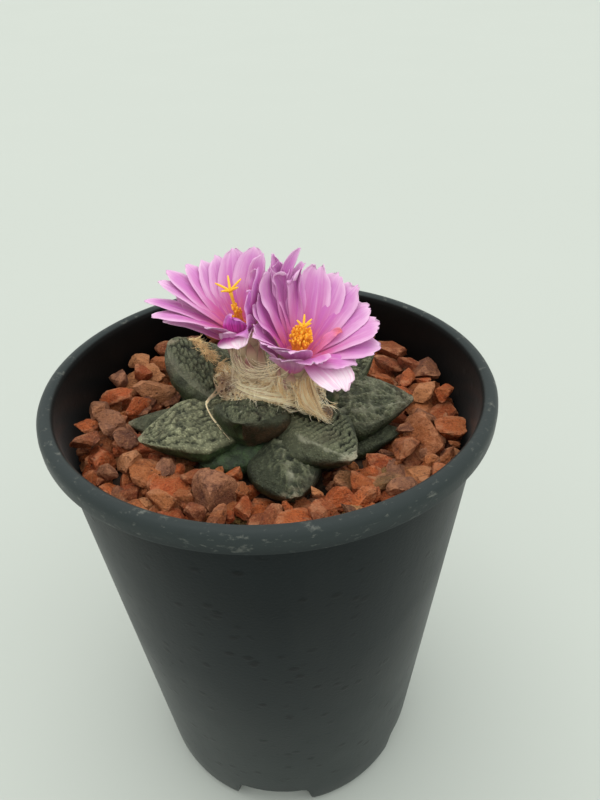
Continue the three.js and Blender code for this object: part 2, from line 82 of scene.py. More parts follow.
def smooth(a, b, x):
    t = clamp((x - a) / (b - a))
    return t * t * (3 - 2 * t)


def field(x, y, z):
    """Smooth noise of about -1 to 1 at a place."""
    return noise.noise(Vector((x, y, z)))


def smooth_point(path, place):
    """A point on a smooth curve through a path; place counts the points of the path from 0."""
    k = min(int(place), len(path) - 2)
    p0, p1, p2, p3 = (path[i] for i in (max(k - 1, 0), k, k + 1, min(k + 2, len(path) - 1)))
    f = place - k
    return 0.5 * (2 * p1 + (p2 - p0) * f + (2 * p0 - 5 * p1 + 4 * p2 - p3) * f * f
                  + (3 * p1 - p0 - 3 * p2 + p3) * f ** 3)


def cross_axes(way):
    """Two directions square to a unit one, the first as near to +X as can be."""
    e1 = (Vector((1, 0, 0)) - way * way.x).normalized()
    return e1, way.cross(e1)


def turns(count):
    """Angles that share out a full turn."""
    return [2 * pi * i / count for i in range(count)]


def wobble(random, size=1.0):
    """A vector with random parts of up to half the size either way."""
    return Vector((random() - 0.5, random() - 0.5, random() - 0.5)) * size


def lin(r, g, b):
    """An sRGB colour of 0 to 255 as linear numbers."""
    out = []
    for c in (r, g, b):
        c /= 255
        out.append(c / 12.92 if c <= 0.04045 else ((c + 0.055) / 1.055) ** 2.4)
    return tuple(out) + (1.0,)


class Build:
    """Collects vertices in millimetres, faces, a UV for each vertex and named numbers."""

    def __init__(self):
        self.v, self.f, self.uv, self.mat = [], [], [], []
        self.attr = {}

    def add(self, verts, faces, uvs=None, mat=0, **attrs):
        """Adds a closed form; a number that isn't given for its vertices is 0."""
        base = len(self.v)
        self.v += [tuple(p) for p in verts]
        self.f += [tuple(base + i for i in f) for f in faces]
        self.uv += uvs if uvs else [(0.0, 0.0)] * len(verts)
        self.mat += [mat] * len(faces)
        for name in sorted(set(self.attr) | set(attrs)):
            column = self.attr.setdefault(name, [])
            column += [0.0] * (base - len(column))
            value = attrs.get(name, 0.0)
            column += list(value) if hasattr(value, "__len__") else [value] * len(verts)

    def object(self, name, materials, smooth_angle=None):
        mesh = bpy.data.meshes.new(name)
        mesh.from_pydata([(x * MM, y * MM, z * MM) for x, y, z in self.v], [], self.f)
        loops = np.empty(len(mesh.loops), dtype=np.int32)
        mesh.loops.foreach_get("vertex_index", loops)
        layer = mesh.uv_layers.new(name="uv")
        layer.data.foreach_set("uv", np.asarray(self.uv, dtype=np.float32)[loops].ravel())
        for key, column in self.attr.items():
            mesh.attributes.new(key, "FLOAT", "POINT").data.foreach_set(
                "value", np.asarray(column, dtype=np.float32))
        for m in materials:
            mesh.materials.append(MATERIALS[m])
        mesh.polygons.foreach_set("material_index", np.asarray(self.mat, dtype=np.int32))
        mesh.validate()
        mesh.update()
        obj = bpy.data.objects.new(name, mesh)
        bpy.context.collection.objects.link(obj)
        bpy.ops.object.select_all(action="DESELECT")
        obj.select_set(True)
        bpy.context.view_layer.objects.active = obj
        if smooth_angle is None:
            bpy.ops.object.shade_smooth()
        else:
            bpy.ops.object.shade_smooth_by_angle(angle=radians(smooth_angle))
        return obj


def ring_faces(rows, columns):
    """Faces between the rings of a stack."""
    faces = []
    for i in range(rows - 1):
        for j in range(columns):
            a, b = i * columns + j, i * columns + (j + 1) % columns
            faces.append((a, b, b + columns, a + columns))
    return faces


def barrel_faces(rows, columns, flip=False):
    """Faces of a stack of rings with a cap at each end."""
    faces = ring_faces(rows, columns)
    faces.append(tuple(range(columns - 1, -1, -1)))
    faces.append(tuple(range((rows - 1) * columns, rows * columns)))
    return [f[::-1] for f in faces] if flip else faces


def tube_mesh(points, radii, sides):
    """A closed tapering tube along points."""
    verts = []
    n = len(points)
    helper = Vector((0.31, 0.2, 0.93))
    for k, p in enumerate(points):
        t = (points[min(k + 1, n - 1)] - points[max(k - 1, 0)]).normalized()
        e1 = t.cross(helper)
        if e1.length < 0.1:
            e1 = t.cross(Vector((1, 0, 0)))
        e1.normalize()
        e2 = t.cross(e1)
        verts += [p + (e1 * cos(a) + e2 * sin(a)) * radii[k] for a in turns(sides)]
    return verts, barrel_faces(n, sides)


SPHERES = {}


def sphere(level):
    """Directions and faces of an icosphere, made once for each level."""
    if level not in SPHERES:
        bm = bmesh.new()
        bmesh.ops.create_icosphere(bm, subdivisions=level, radius=1)
        bm.normal_update()
        ways = np.array([v.co[:] for v in bm.verts])
        SPHERES[level] = (ways, [tuple(v.index for v in f.verts) for f in bm.faces])
        bm.free()
    return SPHERES[level]


# Materials

class Nodes:
    """A short way to write a node tree: each call makes nodes and returns an output."""

    def __init__(self, name):
        self.material = bpy.data.materials.new(name)
        self.material.use_nodes = True
        self.coord = self.make("TexCoord", "Object", {})

    def make(self, kind, output, inputs, **settings):
        n = self.material.node_tree.nodes.new("ShaderNode" + kind)
        for key, value in settings.items():
            setattr(n, key, value)
        for key, value in inputs.items():
            self.link(value, n.inputs[key])
        return n.outputs[output]

    def link(self, value, socket):
        """Links a node's output or sets a number; a triple is an sRGB colour."""
        if isinstance(value, bpy.types.NodeSocket):
            self.material.node_tree.links.new(value, socket)
        elif socket.type == "RGBA":
            socket.default_value = lin(*value)
        elif value is not None:
            socket.default_value = value

    def attr(self, name):
        return self.make("Attribute", "Fac", {}, attribute_name=name)

    def xyz(self, vector):
        return [self.make("SeparateXYZ", axis, {0: vector}) for axis in "XYZ"]

    def scaled(self, scale, vector=None):
        return self.make("Mapping", "Vector", {"Vector": vector or self.coord, "Scale": scale})

    def noise(self, scale, detail=4, rough=0.55, vector=None, distortion=0.0, shift=None):
        inputs = {"Vector": vector or self.coord, "Scale": scale, "Detail": detail,
                  "Roughness": rough, "Distortion": distortion}
        if shift is None:
            return self.make("TexNoise", "Fac", inputs)
        return self.make("TexNoise", "Fac", dict(inputs, W=shift), noise_dimensions="4D")

    def cells(self, scale, vector=None):
        return self.make("TexVoronoi", "Distance", {"Vector": vector or self.coord, "Scale": scale})

    def math(self, op, a, b=None, c=None):
        return self.make("Math", 0, {0: a, 1: b, 2: c}, operation=op)

    def times(self, a, b):
        return self.math("MULTIPLY", a, b)

    def band(self, value, start, full, low=0.0, high=1.0):
        """Rises smoothly from low at start to high at full, which may be the smaller one."""
        return self.make("MapRange", "Result", {
            "Value": value, "From Min": start, "From Max": full, "To Min": low, "To Max": high},
            interpolation_type="SMOOTHSTEP")

    def mix(self, factor, a, b):
        return self.make("Mix", 2, {"Factor": factor, 6: a, 7: b}, data_type="RGBA")

    def coats(self, colour, *rows):
        """Lays colours over one another. Each row: share, colour, masks as outputs or bands."""
        for share, coat, *masks in rows:
            for mask in masks:
                share = self.times(self.band(*mask) if isinstance(mask, tuple) else mask, share)
            colour = self.mix(share, colour, coat)
        return colour

    def ramp(self, value, *stops):
        """Each stop: its place and an sRGB colour."""
        n = self.material.node_tree.nodes.new("ShaderNodeValToRGB")
        elements = n.color_ramp.elements
        while len(elements) < len(stops):
            elements.new(0.5)
        for element, (place, *colour) in zip(elements, stops):
            element.position = place
            element.color = lin(*colour)
        self.link(value, n.inputs["Fac"])
        return n.outputs["Color"]

    def bumps(self, *rows):
        """Each row: height, strength and distance in metres."""
        normal = None
        for height, strength, distance in rows:
            normal = self.make("Bump", "Normal", {
                "Height": height, "Strength": strength, "Distance": distance, "Normal": normal})
        return normal

    def finish(self, colour, rough, normal=None, **numbers):
        shader = self.material.node_tree.nodes["Principled BSDF"]
        self.link(colour, shader.inputs["Base Color"])
        self.link(rough, shader.inputs["Roughness"])
        self.link(normal, shader.inputs["Normal"])
        for key, number in numbers.items():
            shader.inputs[key.replace("_", " ")].default_value = number
        return self.material


def pot_plastic():
    # heights and radii here are in metres
    n = Nodes("pot_plastic")
    x, y, z = n.xyz(n.coord)
    streak = n.noise(60, 4, 0.6, n.scaled((1, 1, 0.16)))
    cloud = n.noise(26, 4, 0.6)
    dust = n.noise(900, 3, 0.6)
    spots = n.math("ADD", n.cells(220, n.scaled((1, 1, 1.3))), n.times(dust, 0.25))
    fleck = n.times(n.band(spots, 0.48, 0.22), n.band(n.noise(120, 2, 0.5), 0.46, 0.58))
    grit = n.times(n.band(dust, 0.62, 0.74), n.band(cloud, 0.35, 0.7))
    rim = n.band(z, 0.1185, 0.1235)
    groove_shadow_offset = n.math("ABSOLUTE", n.math("SUBTRACT", z, 0.1187))
    scuff = n.noise(420, 5, 0.65, n.scaled((1, 1, 2)))
    away = n.math("SQRT", n.math("ADD", n.times(x, x), n.times(y, y)))
    past_wall = n.math("SUBTRACT", away, n.math("MULTIPLY_ADD", z, 0.0757, 0.0385))
    base = n.coats(
        n.mix(n.band(cloud, 0.3, 0.75), (13, 19, 21), (22, 28, 30)),
        (0.75, (46, 52, 51), (z, 0.09, 0.0)),
        (0.25, (38, 41, 41), (streak, 0.5, 0.8)),
        (0.7, (3, 5, 6), fleck),
        (0.2, (80, 80, 75), grit),
        # the rim's top is painted lighter: a painted sheen
        (0.75, (58, 64, 64), rim),
        # a thin dark line under the rim: painted shadow in the groove
        (0.8, (4, 6, 8), (groove_shadow_offset, 0.0012, 0.0004)),
        (0.55, (120, 121, 114), (scuff, 0.56, 0.72), rim),
        # the inside of the wall and the inner edge of the rim's top are painted near black: painted shade
        (1.0, n.mix(n.band(cloud, 0.4, 0.7), (5, 5, 5), (12, 9, 8)),
         (past_wall, 0.0004, -0.0001), (z, 0.1254, 0.1242)))
    rough = n.math("ADD", n.band(cloud, 0.3, 0.8, 0.34, 0.46), n.times(grit, 0.2))
    normal = n.bumps((n.noise(1500, 2, 0.5), 0.12, 0.0002), (fleck, 0.1, 0.0003), (streak, 0.2, 0.0006))
    return n.finish(base, rough, normal, Specular_IOR_Level=0.07, Sheen_Weight=0.07,
                    Sheen_Roughness=0.4)


def soil_earth():
    n = Nodes("soil_earth")
    grain = n.noise(700, 6, 0.7)
    base = n.ramp(grain, (0.3, 30, 22, 16), (0.55, 62, 46, 34), (0.75, 104, 84, 62))
    return n.finish(base, 0.95, n.bumps((grain, 0.8, 0.001)))


def stone_red():
    n = Nodes("stone_red")
    kind = n.attr("kind")
    grain = n.noise(520, 6, 0.7)
    patch = n.noise(130, 5, 0.6, distortion=0.4)
    speck = n.noise(2300, 3, 0.6)
    layers = n.noise(260, 3, 0.6, n.scaled((0.5, 1.6, 2.6)), 0.6, n.times(kind, 30.0))
    pits = n.times(n.band(n.cells(620), 0.26, 0.08), n.band(n.noise(190, 2, 0.5), 0.48, 0.6))
    tone = n.ramp(
        kind, (0.0, 126, 54, 24), (0.16, 180, 80, 32), (0.34, 200, 100, 44), (0.52, 128, 62, 34),
        (0.66, 182, 104, 54), (0.76, 202, 134, 86), (0.84, 138, 92, 70), (0.92, 118, 68, 48),
        (0.97, 104, 64, 46), (1.0, 150, 122, 64))
    colour = n.coats(
        tone,
        (0.5, (152, 92, 52), (patch, 0.4, 0.7)),
        (0.45, (84, 39, 22), (patch, 0.45, 0.25)),
        (0.4, (174, 118, 76), (grain, 0.5, 0.72)),
        (0.5, (64, 29, 18), (grain, 0.48, 0.3)),
        (0.3, (206, 146, 98), (speck, 0.54, 0.66)),
        (0.5, (70, 32, 18), (speck, 0.45, 0.34)),
        (0.7, (50, 23, 15), pits),
        (0.55, (198, 136, 98), (n.attr("edge"), 0.55, 1.0), (grain, 0.35, 0.6)),
        (0.35, (70, 34, 22), (layers, 0.46, 0.36)))
    normal = n.bumps((grain, 0.9, 0.001), (speck, 0.7, 0.0007), (layers, 0.5, 0.0012),
                     (pits, 0.5, -0.0006))
    return n.finish(colour, n.band(patch, 0.3, 0.7, 0.62, 0.85), normal, Specular_IOR_Level=0.4)


def cactus_skin():
    n = Nodes("cactus_skin")
    crest, under = n.attr("crest"), n.attr("under")
    fine = n.noise(1300, 5, 0.65)
    mid = n.noise(420, 5, 0.6)
    broad = n.noise(75, 3, 0.5)
    pebble = n.band(n.cells(1700), 0.55, 0.0)
    # both ramps run dark in the low hollows of the relief and light on its raised parts: painted shade and
    # painted light
    dark = n.ramp(crest, (0.12, 18, 20, 13), (0.38, 48, 53, 38), (0.6, 75, 80, 59),
                  (0.88, 115, 119, 90))
    light = n.ramp(crest, (0.1, 54, 56, 42), (0.36, 124, 125, 97), (0.6, 171, 171, 134),
                   (0.9, 197, 197, 160))
    top = n.coats(n.mix(n.attr("tint"), dark, light), (0.35, (100, 82, 68), (broad, 0.5, 0.66)))
    green = n.mix(n.band(mid, 0.35, 0.7), (34, 50, 27), (68, 90, 54))
    brown = n.mix(n.band(mid, 0.35, 0.7), (62, 40, 28), (92, 62, 44))
    rust = n.math("MAXIMUM",
                  n.times(n.band(broad, 0.42, 0.62), n.band(under, 0.95, 0.6, 0.25, 1)),
                  n.times(n.attr("rust"), n.band(mid, 0.3, 0.5, 0.5, 1)))
    colour = n.coats(
        n.mix(n.band(under, 0.2, 0.75), top, n.coats(green, (0.85, brown, rust))),
        (0.22, (140, 146, 124), (fine, 0.52, 0.66), n.math("SUBTRACT", 1.0, under)),
        (0.45, (28, 32, 24), (fine, 0.45, 0.34)),
        (0.35, (30, 34, 26), (pebble, 0.4, 0.1)),
        (0.8, (186, 184, 160), (mid, 0.32, 0.55), n.attr("pale")),
        (1.0, (150, 140, 116), (mid, 0.4, 0.6), n.attr("tip")))
    rough_skin = n.band(under, 0, 1, 1.0, 0.4)
    normal = n.bumps((n.times(pebble, rough_skin), 0.5, 0.0004), (n.times(fine, rough_skin), 0.8, 0.0007),
                     (n.times(mid, rough_skin), 0.5, 0.001))
    return n.finish(colour, n.band(under, 0, 1, 0.78, 0.5), normal, Specular_IOR_Level=0.35)


def dirt_and_shade_spot(n, outer):
    """1 at the brown spot of the wool, which paints brown debris and the shade of a hollow there, fading to
    0 at the outer distance, with a ragged edge.
    """
    total = 0.0
    for value, middle in zip(n.xyz(n.coord), (-0.0114, -0.0006, 0.1228)):
        off = n.math("SUBTRACT", value, middle)
        total = n.math("MULTIPLY_ADD", off, off, total)
    ragged = n.math("MULTIPLY_ADD", n.math("SUBTRACT", n.noise(500, 4, 0.65), 0.5), 0.006,
                    n.math("SQRT", total))
    return n.band(ragged, outer, 0.0025)


def wool_hair():
    n = Nodes("wool_hair")
    colour = n.coats(
        n.ramp(n.attr("tone"), (0.0, 124, 84, 46), (0.25, 196, 152, 96), (0.55, 248, 214, 150),
               (1.0, 255, 248, 218)),
        (0.4, (206, 156, 88), (n.noise(240, 4, 0.6), 0.58, 0.72)),
        # brown debris with painted shade of a hollow at the spot
        (0.75, (138, 74, 26), dirt_and_shade_spot(n, 0.0058)))
    # a faint cream glow: painted light that lifts the hair's shaded parts
    return n.finish(colour, 0.55, Sheen_Weight=0.3, Emission_Color=(1, 0.78, 0.48, 1),
                    Emission_Strength=0.05)


def wool_mass():
    n = Nodes("wool_mass")
    strand = n.noise(600, 5, 0.75, distortion=2.0)
    tone = n.attr("tone")
    colour = n.coats(
        n.ramp(strand, (0.3, 70, 44, 24), (0.5, 132, 94, 54), (0.7, 216, 172, 110)),
        (0.6, (150, 124, 86), (n.noise(130, 3, 0.6), 0.5, 0.65)),
        (1.0, n.mix(n.band(tone, -0.4, -0.9), (150, 88, 50), (84, 44, 26)), (tone, 0.0, -0.3)),
        # brown debris with painted shade of a hollow at the spot
        (0.8, (84, 42, 18), dirt_and_shade_spot(n, 0.0062)))
    return n.finish(colour, 0.9, n.bumps((strand, 0.9, 0.0012)), Sheen_Weight=0.3)


def petal_skin():
    n = Nodes("petal_skin")
    uv = n.make("UVMap", "UV", {}, uv_map="uv")
    u, v, _ = n.xyz(uv)
    tone = n.attr("tone")
    own = n.times(tone, 20.0)
    sway = n.math("SUBTRACT", n.noise(2.0, 2, 0.5, n.scaled((2, 1, 1), uv), 0, own), 0.5)
    across = n.math("ADD", n.math("SUBTRACT", v, 0.5), n.times(sway, 0.16))
    across = n.math("ABSOLUTE", across)
    veins = n.noise(1.0, 3, 0.55, n.scaled((1.3, 17, 1), uv), 0.3, own)
    cloud = n.noise(1.0, 2, 0.5, n.scaled((2.6, 3.4, 1), uv), 0.3, own)
    blade = n.ramp(u, (0.0, 216, 92, 108), (0.14, 216, 112, 146), (0.34, 196, 105, 165),
                   (0.7, 189, 109, 177), (1.0, 200, 140, 191))
    rose = n.ramp(u, (0.0, 206, 70, 100), (0.4, 200, 88, 162), (1.0, 202, 118, 190))

    def veined(a, b):
        return n.mix(n.band(veins, 0.4, 0.6), a, b)
    colour = n.coats(
        blade,
        (0.55, rose, tone),
        (0.26, (232, 186, 220), (cloud, 0.5, 0.7)),
        (0.3, (190, 88, 180), (cloud, 0.45, 0.3)),
        (0.5, (184, 78, 178), (across, 0.15, 0.03), (u, 0.15, 0.95, 0.9, 0.45)),
        (0.5, (234, 194, 224), (across, 0.24, 0.46), (u, 0.15, 0.6)),
        (0.5, (238, 206, 228), (u, 0.84, 1.0)),
        (0.34, (184, 84, 172), (veins, 0.52, 0.7)),
        (0.28, (232, 184, 220), (veins, 0.47, 0.3)),
        (1.0, veined((166, 48, 156), (206, 102, 200)), n.attr("dusk"), (across, 0.5, 0.2, 0.4, 1)),
        (1.0, veined((255, 240, 246), (244, 206, 226)), n.attr("pale"), (u, 0.25, 0.8)),
        (0.75, n.mix(n.band(u, 0.72, 0.98), (232, 132, 176), (230, 104, 84)), n.attr("warm")),
        (1.0, veined((150, 8, 116), (196, 40, 156)), n.attr("deep"), (u, 0.74, 0.34)))
    normal = n.bumps((veins, 0.3, 0.0003), (n.noise(900, 3, 0.6), 0.1, 0.0002))
    # a faint glow in the petals' colour: painted light for light passing through them and filling their
    # shade
    return n.finish(colour, 0.5, normal, Emission_Color=(0.84, 0.34, 0.66, 1), Emission_Strength=0.05,
                    Specular_IOR_Level=0.3)


def bract_skin():
    n = Nodes("bract_skin")
    uv = n.make("UVMap", "UV", {}, uv_map="uv")
    veins = n.noise(1.0, 3, 0.6, n.scaled((1.6, 30, 1), uv), 0.4)
    colour = n.coats(
        n.ramp(n.xyz(uv)[0], (0.0, 168, 152, 118), (0.4, 196, 172, 142), (0.62, 186, 142, 126),
               (0.84, 140, 74, 80), (1.0, 186, 130, 124)),
        (0.5, (190, 170, 136), (veins, 0.45, 0.7)),
        (1.0, (206, 84, 128), n.attr("tone")))
    # a faint warm glow: painted light for light passing through the bracts
    return n.finish(colour, 0.4, n.bumps((veins, 0.4, 0.0003)), Emission_Color=(0.9, 0.62, 0.5, 1),
                    Emission_Strength=0.05)


def stamen_skin():
    n = Nodes("stamen_skin")
    pollen = n.noise(2600, 3, 0.6)
    colour = n.coats(
        n.mix(n.band(pollen, 0.35, 0.65), (244, 150, 14), (255, 204, 60)),
        (1.0, (255, 196, 44), n.attr("kind")),
        (1.0, (222, 110, 74), n.attr("rosy")))
    # a faint orange glow: painted light that brightens the stamens
    return n.finish(colour, 0.6, n.bumps((pollen, 0.6, 0.0002)), Emission_Color=(1, 0.52, 0.06, 1),
                    Emission_Strength=0.05)


# Sizes in millimetres, as on the solids
POT_SECTION = [
    (38.7, 10.7), (38.2, 4.6), (36.3, 0.25), (36.5, 0), (37.2, 0), (37.9, 0.45), (38.6, 1.3),
    (39.1, 2.6), (39.4, 4.2), (39.92, 10.9), (43.8, 62), (47.4, 110), (48.2, 120.3), (48.5, 122.9),
    (48.9, 123.5), (49.4, 123.65), (49.85, 123.3), (49.98, 122.4), (50, 120.7), (50.2, 120.35),
    (50.6, 120.3), (50.9, 120.5), (51, 121), (51, 122.9), (50.85, 123.9), (50.4, 124.65), (49.8, 125),
    (48.9, 125), (48.2, 124.7), (47.7, 124.2), (47.4, 123.4), (47.15, 120), (43, 66), (38.95, 12.6),
    (38.3, 12),
]
FLOOR_UNDER, FLOOR_TOP = 10.7, 12
NOTCH_FIRST, NOTCHES, NOTCH_TOP = -95.9, 5, 10.2
# Outline of a drain notch: degrees from its middle and height
NOTCH = [(-17, 0), (-14.5, 8.4), (-13.6, 9.7), (-11.6, NOTCH_TOP), (0, NOTCH_TOP), (11.6, NOTCH_TOP),
         (13.6, 9.7), (14.5, 8.4), (17, 0)]
DRAIN_RADIUS, DRAIN_REACH = 3.6, 28
# Height and radius of the root and stem
STEM = [(38, 0.8), (42, 2.2), (52, 4.4), (64, 6.8), (76, 9.4), (88, 11.8), (99, 13.4), (106, 13.2),
        (112, 11.4), (116, 8.6), (117.6, 5.6), (118.3, 2.6)]
# Each tubercle: root, tip, width, depth, roll in degrees, bluntness, share of the depth kept at the tip,
# height of the ridge as a share of the half width, its place across, pattern of the rough top, paleness
TUBERCLES = [
    ((1.2, -7, 110.6), (5.2, -27, 111.2), 17, 9, 2, 0.7, 0.62, 0.38, 0.06, "crusted", 0),
    ((-6, -2.6, 115), (-28.6, -12.2, 115.6), 18, 10, -13, 0.3, 0.5, 0.16, -0.3, "warty", 1),
    ((-12, 1, 109.5), (-34, -1.2, 112.2), 13, 7, -6, 0.3, 0.35, 0.25, 0.1, "plain", 0.2),
    ((-8, 3.6, 115), (-24, 15, 125.4), 19, 9, 4, 0.95, 0.4, 0.14, 0.1, "ridged", 0.22),
    ((-2.2, -1.4, 117.2), (-6.2, -14.6, 121.2), 18, 8.5, 0, 0.6, 0.95, 0.16, 0, "cracked", 0.1),
    ((4.6, -4.4, 115), (17.6, -21, 115.8), 18, 9.5, 8, 0.4, 0.5, 0.2, 0.5, "fissured", 0.15),
    ((9, 0.6, 114.6), (33.2, 0.4, 115.8), 19, 10, 16, 0.4, 0.5, 0.2, 0.5, "veined", 0.15),
    ((11, -4, 107), (30.4, -4.2, 109.8), 12, 6, 6, 0.35, 0.4, 0.2, 0, "plain", 0.1),
    ((8, 6, 113.6), (25.6, 14.6, 121.4), 15, 8, 6, 0.4, 0.4, 0.16, 0, "ridged", 0.3),
    ((5, -1, 113.6), (15.4, -3.6, 122), 11, 6, 0, 0.5, 0.7, 0.2, 0, "plain", 0),
    ((-6, 9, 110), (-17.4, 27, 117.6), 16, 8, 0, 0.35, 0.4, 0.16, 0, "warty", 0.5),
    ((-1, 10, 110), (-2.2, 31.4, 116.6), 16, 8, 0, 0.3, 0.4, 0.2, 0.1, "fissured", 0.3),
    ((5, 9, 110), (12.6, 28.4, 117.4), 16, 8, 0, 0.35, 0.4, 0.16, 0, "warty", 0.5),
    ((8, 7, 108), (24.2, 22.4, 112.4), 14, 7, 0, 0.3, 0.35, 0.25, 0, "veined", 0.3),
    ((-2, 5, 113), (-6.6, 17.6, 123.4), 14, 7, 0, 0.45, 0.5, 0.16, 0, "cracked", 0.3),
    ((3, 5, 113), (8.2, 17, 123), 13, 7, 0, 0.45, 0.5, 0.16, 0, "ridged", 0.3),
    ((-9, 7, 106.5), (-27.4, 20.8, 110.6), 13, 6.5, 0, 0.35, 0.35, 0.25, 0, "veined", 0.3),
    ((-4, -5, 107), (-16, -15, 107.6), 13, 6, 0, 0.5, 0.5, 0.2, 0, "plain", 0),
]
# Numbers of the tubercle with a dark flank and of the one that is brown at its left side
DARK_FLANK, BROWN_SIDE = 2, 5
# Smooth flesh between the bases: middle and half sizes
SADDLES = [((-2.6, -9.6, 108.6), (10, 6.6, 4.6)), ((-9.4, -12.2, 108.4), (7, 4.2, 3.2)),
           ((8.6, -9, 108.4), (7, 6, 4.2)), ((9, 4, 108), (8, 8, 5))]
# Each petal: bearing in degrees, reach, rise, width, angle of its tip above level in degrees, and where
# they aren't 0, how wild it is (below 0 for one that opens from the middle), its swing to the right and
# its warmth
LEFT = dict(side=-1, throat=(-5.8, 2, 135.6), foot=(-3.4, 2, 119), lean=(-0.16, -0.12, 1), seed=11, petals=[
    (182, 20, 7, 5.1, 8), (170, 17.6, 9.8, 5.8, 22), (158, 17.3, 10.9, 6, 28), (144, 14.4, 11.3, 5.8, 34),
    (130, 13.3, 11.5, 6, 38), (116, 12.4, 12.2, 6, 42), (97, 11.1, 14, 6.5, 52), (70, 10.8, 14.6, 6.3, 55),
    (40, 8, 14.5, 6, 66, 0.3), (10, 5.6, 13, 5.8, 76, 0.5), (-25, 6, 9, 5.8, 66, 0.8),
    (-62, 7.5, 3, 6.3, 5, 0.5), (-86, 7.8, -1.4, 8.8, -58, -0.15), (-104, 4.6, 4.4, 4.6, 40, 0.4),
    (-135, 9.6, 3, 3.9, 5), (197, 18.7, 5.6, 6.5, 2)])
RIGHT = dict(side=1, throat=(6.8, -2, 130.6), foot=(4.4, -0.6, 119), lean=(0.2, -0.16, 1), seed=23, petals=[
    (-4, 18.2, 7, 6.5, 12), (-15, 17.8, 3, 6.5, -6), (12, 16.6, 8.8, 6.3, 20), (30, 15.7, 12, 6.5, 32),
    (46, 14.2, 13.8, 6.5, 42), (64, 12.2, 15.7, 6.7, 55), (84, 9.4, 20.6, 2.6, 66, 0.6, -6.4),
    (78, 9, 17.4, 3.4, 60, 0.9, -3.4), (92, 9.8, 15, 6.6, 68), (96, 4.6, 15.2, 4.6, 215, 0.6, 0.6),
    (114, 5.2, 15.8, 4.4, 200, 0.8, -1), (112, 8.6, 18.6, 3.4, 110, 0.9, -1.2),
    (122, 9.4, 19.8, 3.6, 96, 0.9, 1), (134, 9.4, 17.6, 5.2, 92, 0.85),
    (-4, 9.6, 5, 1.9, -14, 0.35, 0, 1), (140, 9.2, 17.2, 7, 88, 0.5), (153, 9.6, 14, 6.6, 78, 0.35),
    (168, 10.8, 11.4, 6.5, 62, 0.3), (188, 10.8, 8, 6.5, 45, 0.3), (212, 11, 7.5, 6.5, 25),
    (238, 11.4, 7, 6.5, 14), (264, 11.4, 6.4, 6.5, 10), (290, 12.2, 3.6, 6.5, -5),
    (310, 14.6, -3, 7.7, -52), (329, 13.8, 1.2, 7, -18)])
# Middles and half sizes of the wool mass
WOOL = [((-2.4, 0.6, 119), (6.4, 5.2, 3.3)), ((5, -0.8, 119.2), (6, 5.4, 3.3)),
        ((-9.2, 1.6, 119.6), (2.4, 3, 1.6)), ((10.6, -4.2, 119.8), (2, 3.2, 2.2)),
        ((12.6, -8, 118.4), (1.9, 3.2, 1.1)), ((-11.2, 5.4, 120.6), (1.6, 3.6, 1.2))]
# Paths of the wool; a combed lock also has its number of hairs, its spread and its tone
FELT = [(-20.6, 17.4, 124.6), (-17.8, 14.4, 123.4), (-14.8, 11.2, 122.2), (-12.4, 8.2, 121.4),
        (-11, 5, 121.2), (-10, 2.4, 120.8)]
TUFT = [(8.6, -3.2, 125), (8.3, -5.8, 123.1), (9.1, -8.2, 121), (10.9, -9.8, 119.4), (13.6, -11.4, 118)]
LOCKS = [
    (260, 0.7, 0.85, [(-8.6, -0.2, 121.6), (-5.4, -3.2, 121.4), (-1.2, -5, 120.9), (3.2, -6, 120.3),
                      (7.2, -7.2, 119.2)]),
    (220, 0.7, 0.85, [(-6.8, -2, 122.2), (-3, -4.4, 121.8), (1.4, -5.2, 121.2), (5.6, -5.6, 120.8)]),
    (170, 0.6, 0.75, [(-3.6, -4, 120.9), (0.8, -5.4, 120.2), (5, -5.6, 120.4), (9.2, -4.6, 121.2)]),
    (90, 0.8, 0.85, [(-8, 1.4, 123.6), (-7.4, -1.6, 122.6), (-4.6, -3.4, 122), (-0.6, -3.8, 122.4),
                     (1.2, -2.6, 124.2)]),
    (60, 0.45, 1, [(-7.8, 2.6, 126.4), (-8.2, -0.4, 124.2), (-6.4, -2.8, 122.6), (-3, -4.2, 121.8)]),
    (90, 0.8, 0.5, [(2.4, -4, 125.2), (2.6, -5, 123.2), (3.2, -5.4, 121.6), (4.4, -5.4, 121)]),
    (100, 0.9, 0.45, [(5.8, -4.8, 125.4), (6.2, -5.4, 123.4), (7, -5.6, 121.8), (8.2, -5.2, 121.4)]),
    (70, 0.8, 0.55, [(8.4, -3.2, 125), (9, -3.8, 123.2), (9.6, -4.6, 121.8)]),
    (60, 0.5, 0.5, [(-9.6, 3.4, 121.6), (-11.4, 1.4, 120.8), (-11.6, -1.2, 120.4), (-9.2, -2.6, 120.8)])]
ARCS = [
    [(-8, -1.6, 131.6), (-7.7, -2.4, 128.9), (-6.3, -3.2, 127), (-3.6, -4, 125.8), (-0.5, -5, 126.4)],
    [(-6.6, -1.8, 132.6), (-7, -2.4, 129.9), (-5.6, -3.2, 127.8), (-2.7, -4, 127.1), (0.9, -4.8, 127.7)],
    [(-5.1, -2.4, 131.4), (-3.9, -3, 128.6), (-1.3, -3.8, 128), (1.9, -4.8, 129.5), (4.6, -5.4, 131.3)],
    [(3.7, -5.2, 129.7), (1.9, -5.6, 127.9), (-1.3, -5.2, 126.8), (-4.4, -4.4, 126.9), (-6.6, -3.4, 127.9)]]
SCRAPS = [(-10.4, 1.8, 124), (-10.4, 0.2, 122.4), (-9.6, -1.8, 121.8), (-7.6, -3.6, 121.4)]
STRAND = [(-10.6, -0.9, 122.2), (-13, -2.2, 120.2), (-14.8, -3.4, 118.9), (-13.8, -5.9, 117.4),
          (-11, -9.8, 115.6), (-7.9, -12.6, 113.4)]


# Pot

def wall_radius(section, z):
    for (r0, z0), (r1, z1) in zip(section, section[1:]):
        if z0 != z1 and min(z0, z1) <= z <= max(z0, z1):
            return lerp(r0, r1, (z - z0) / (z1 - z0))
    return section[0][0]


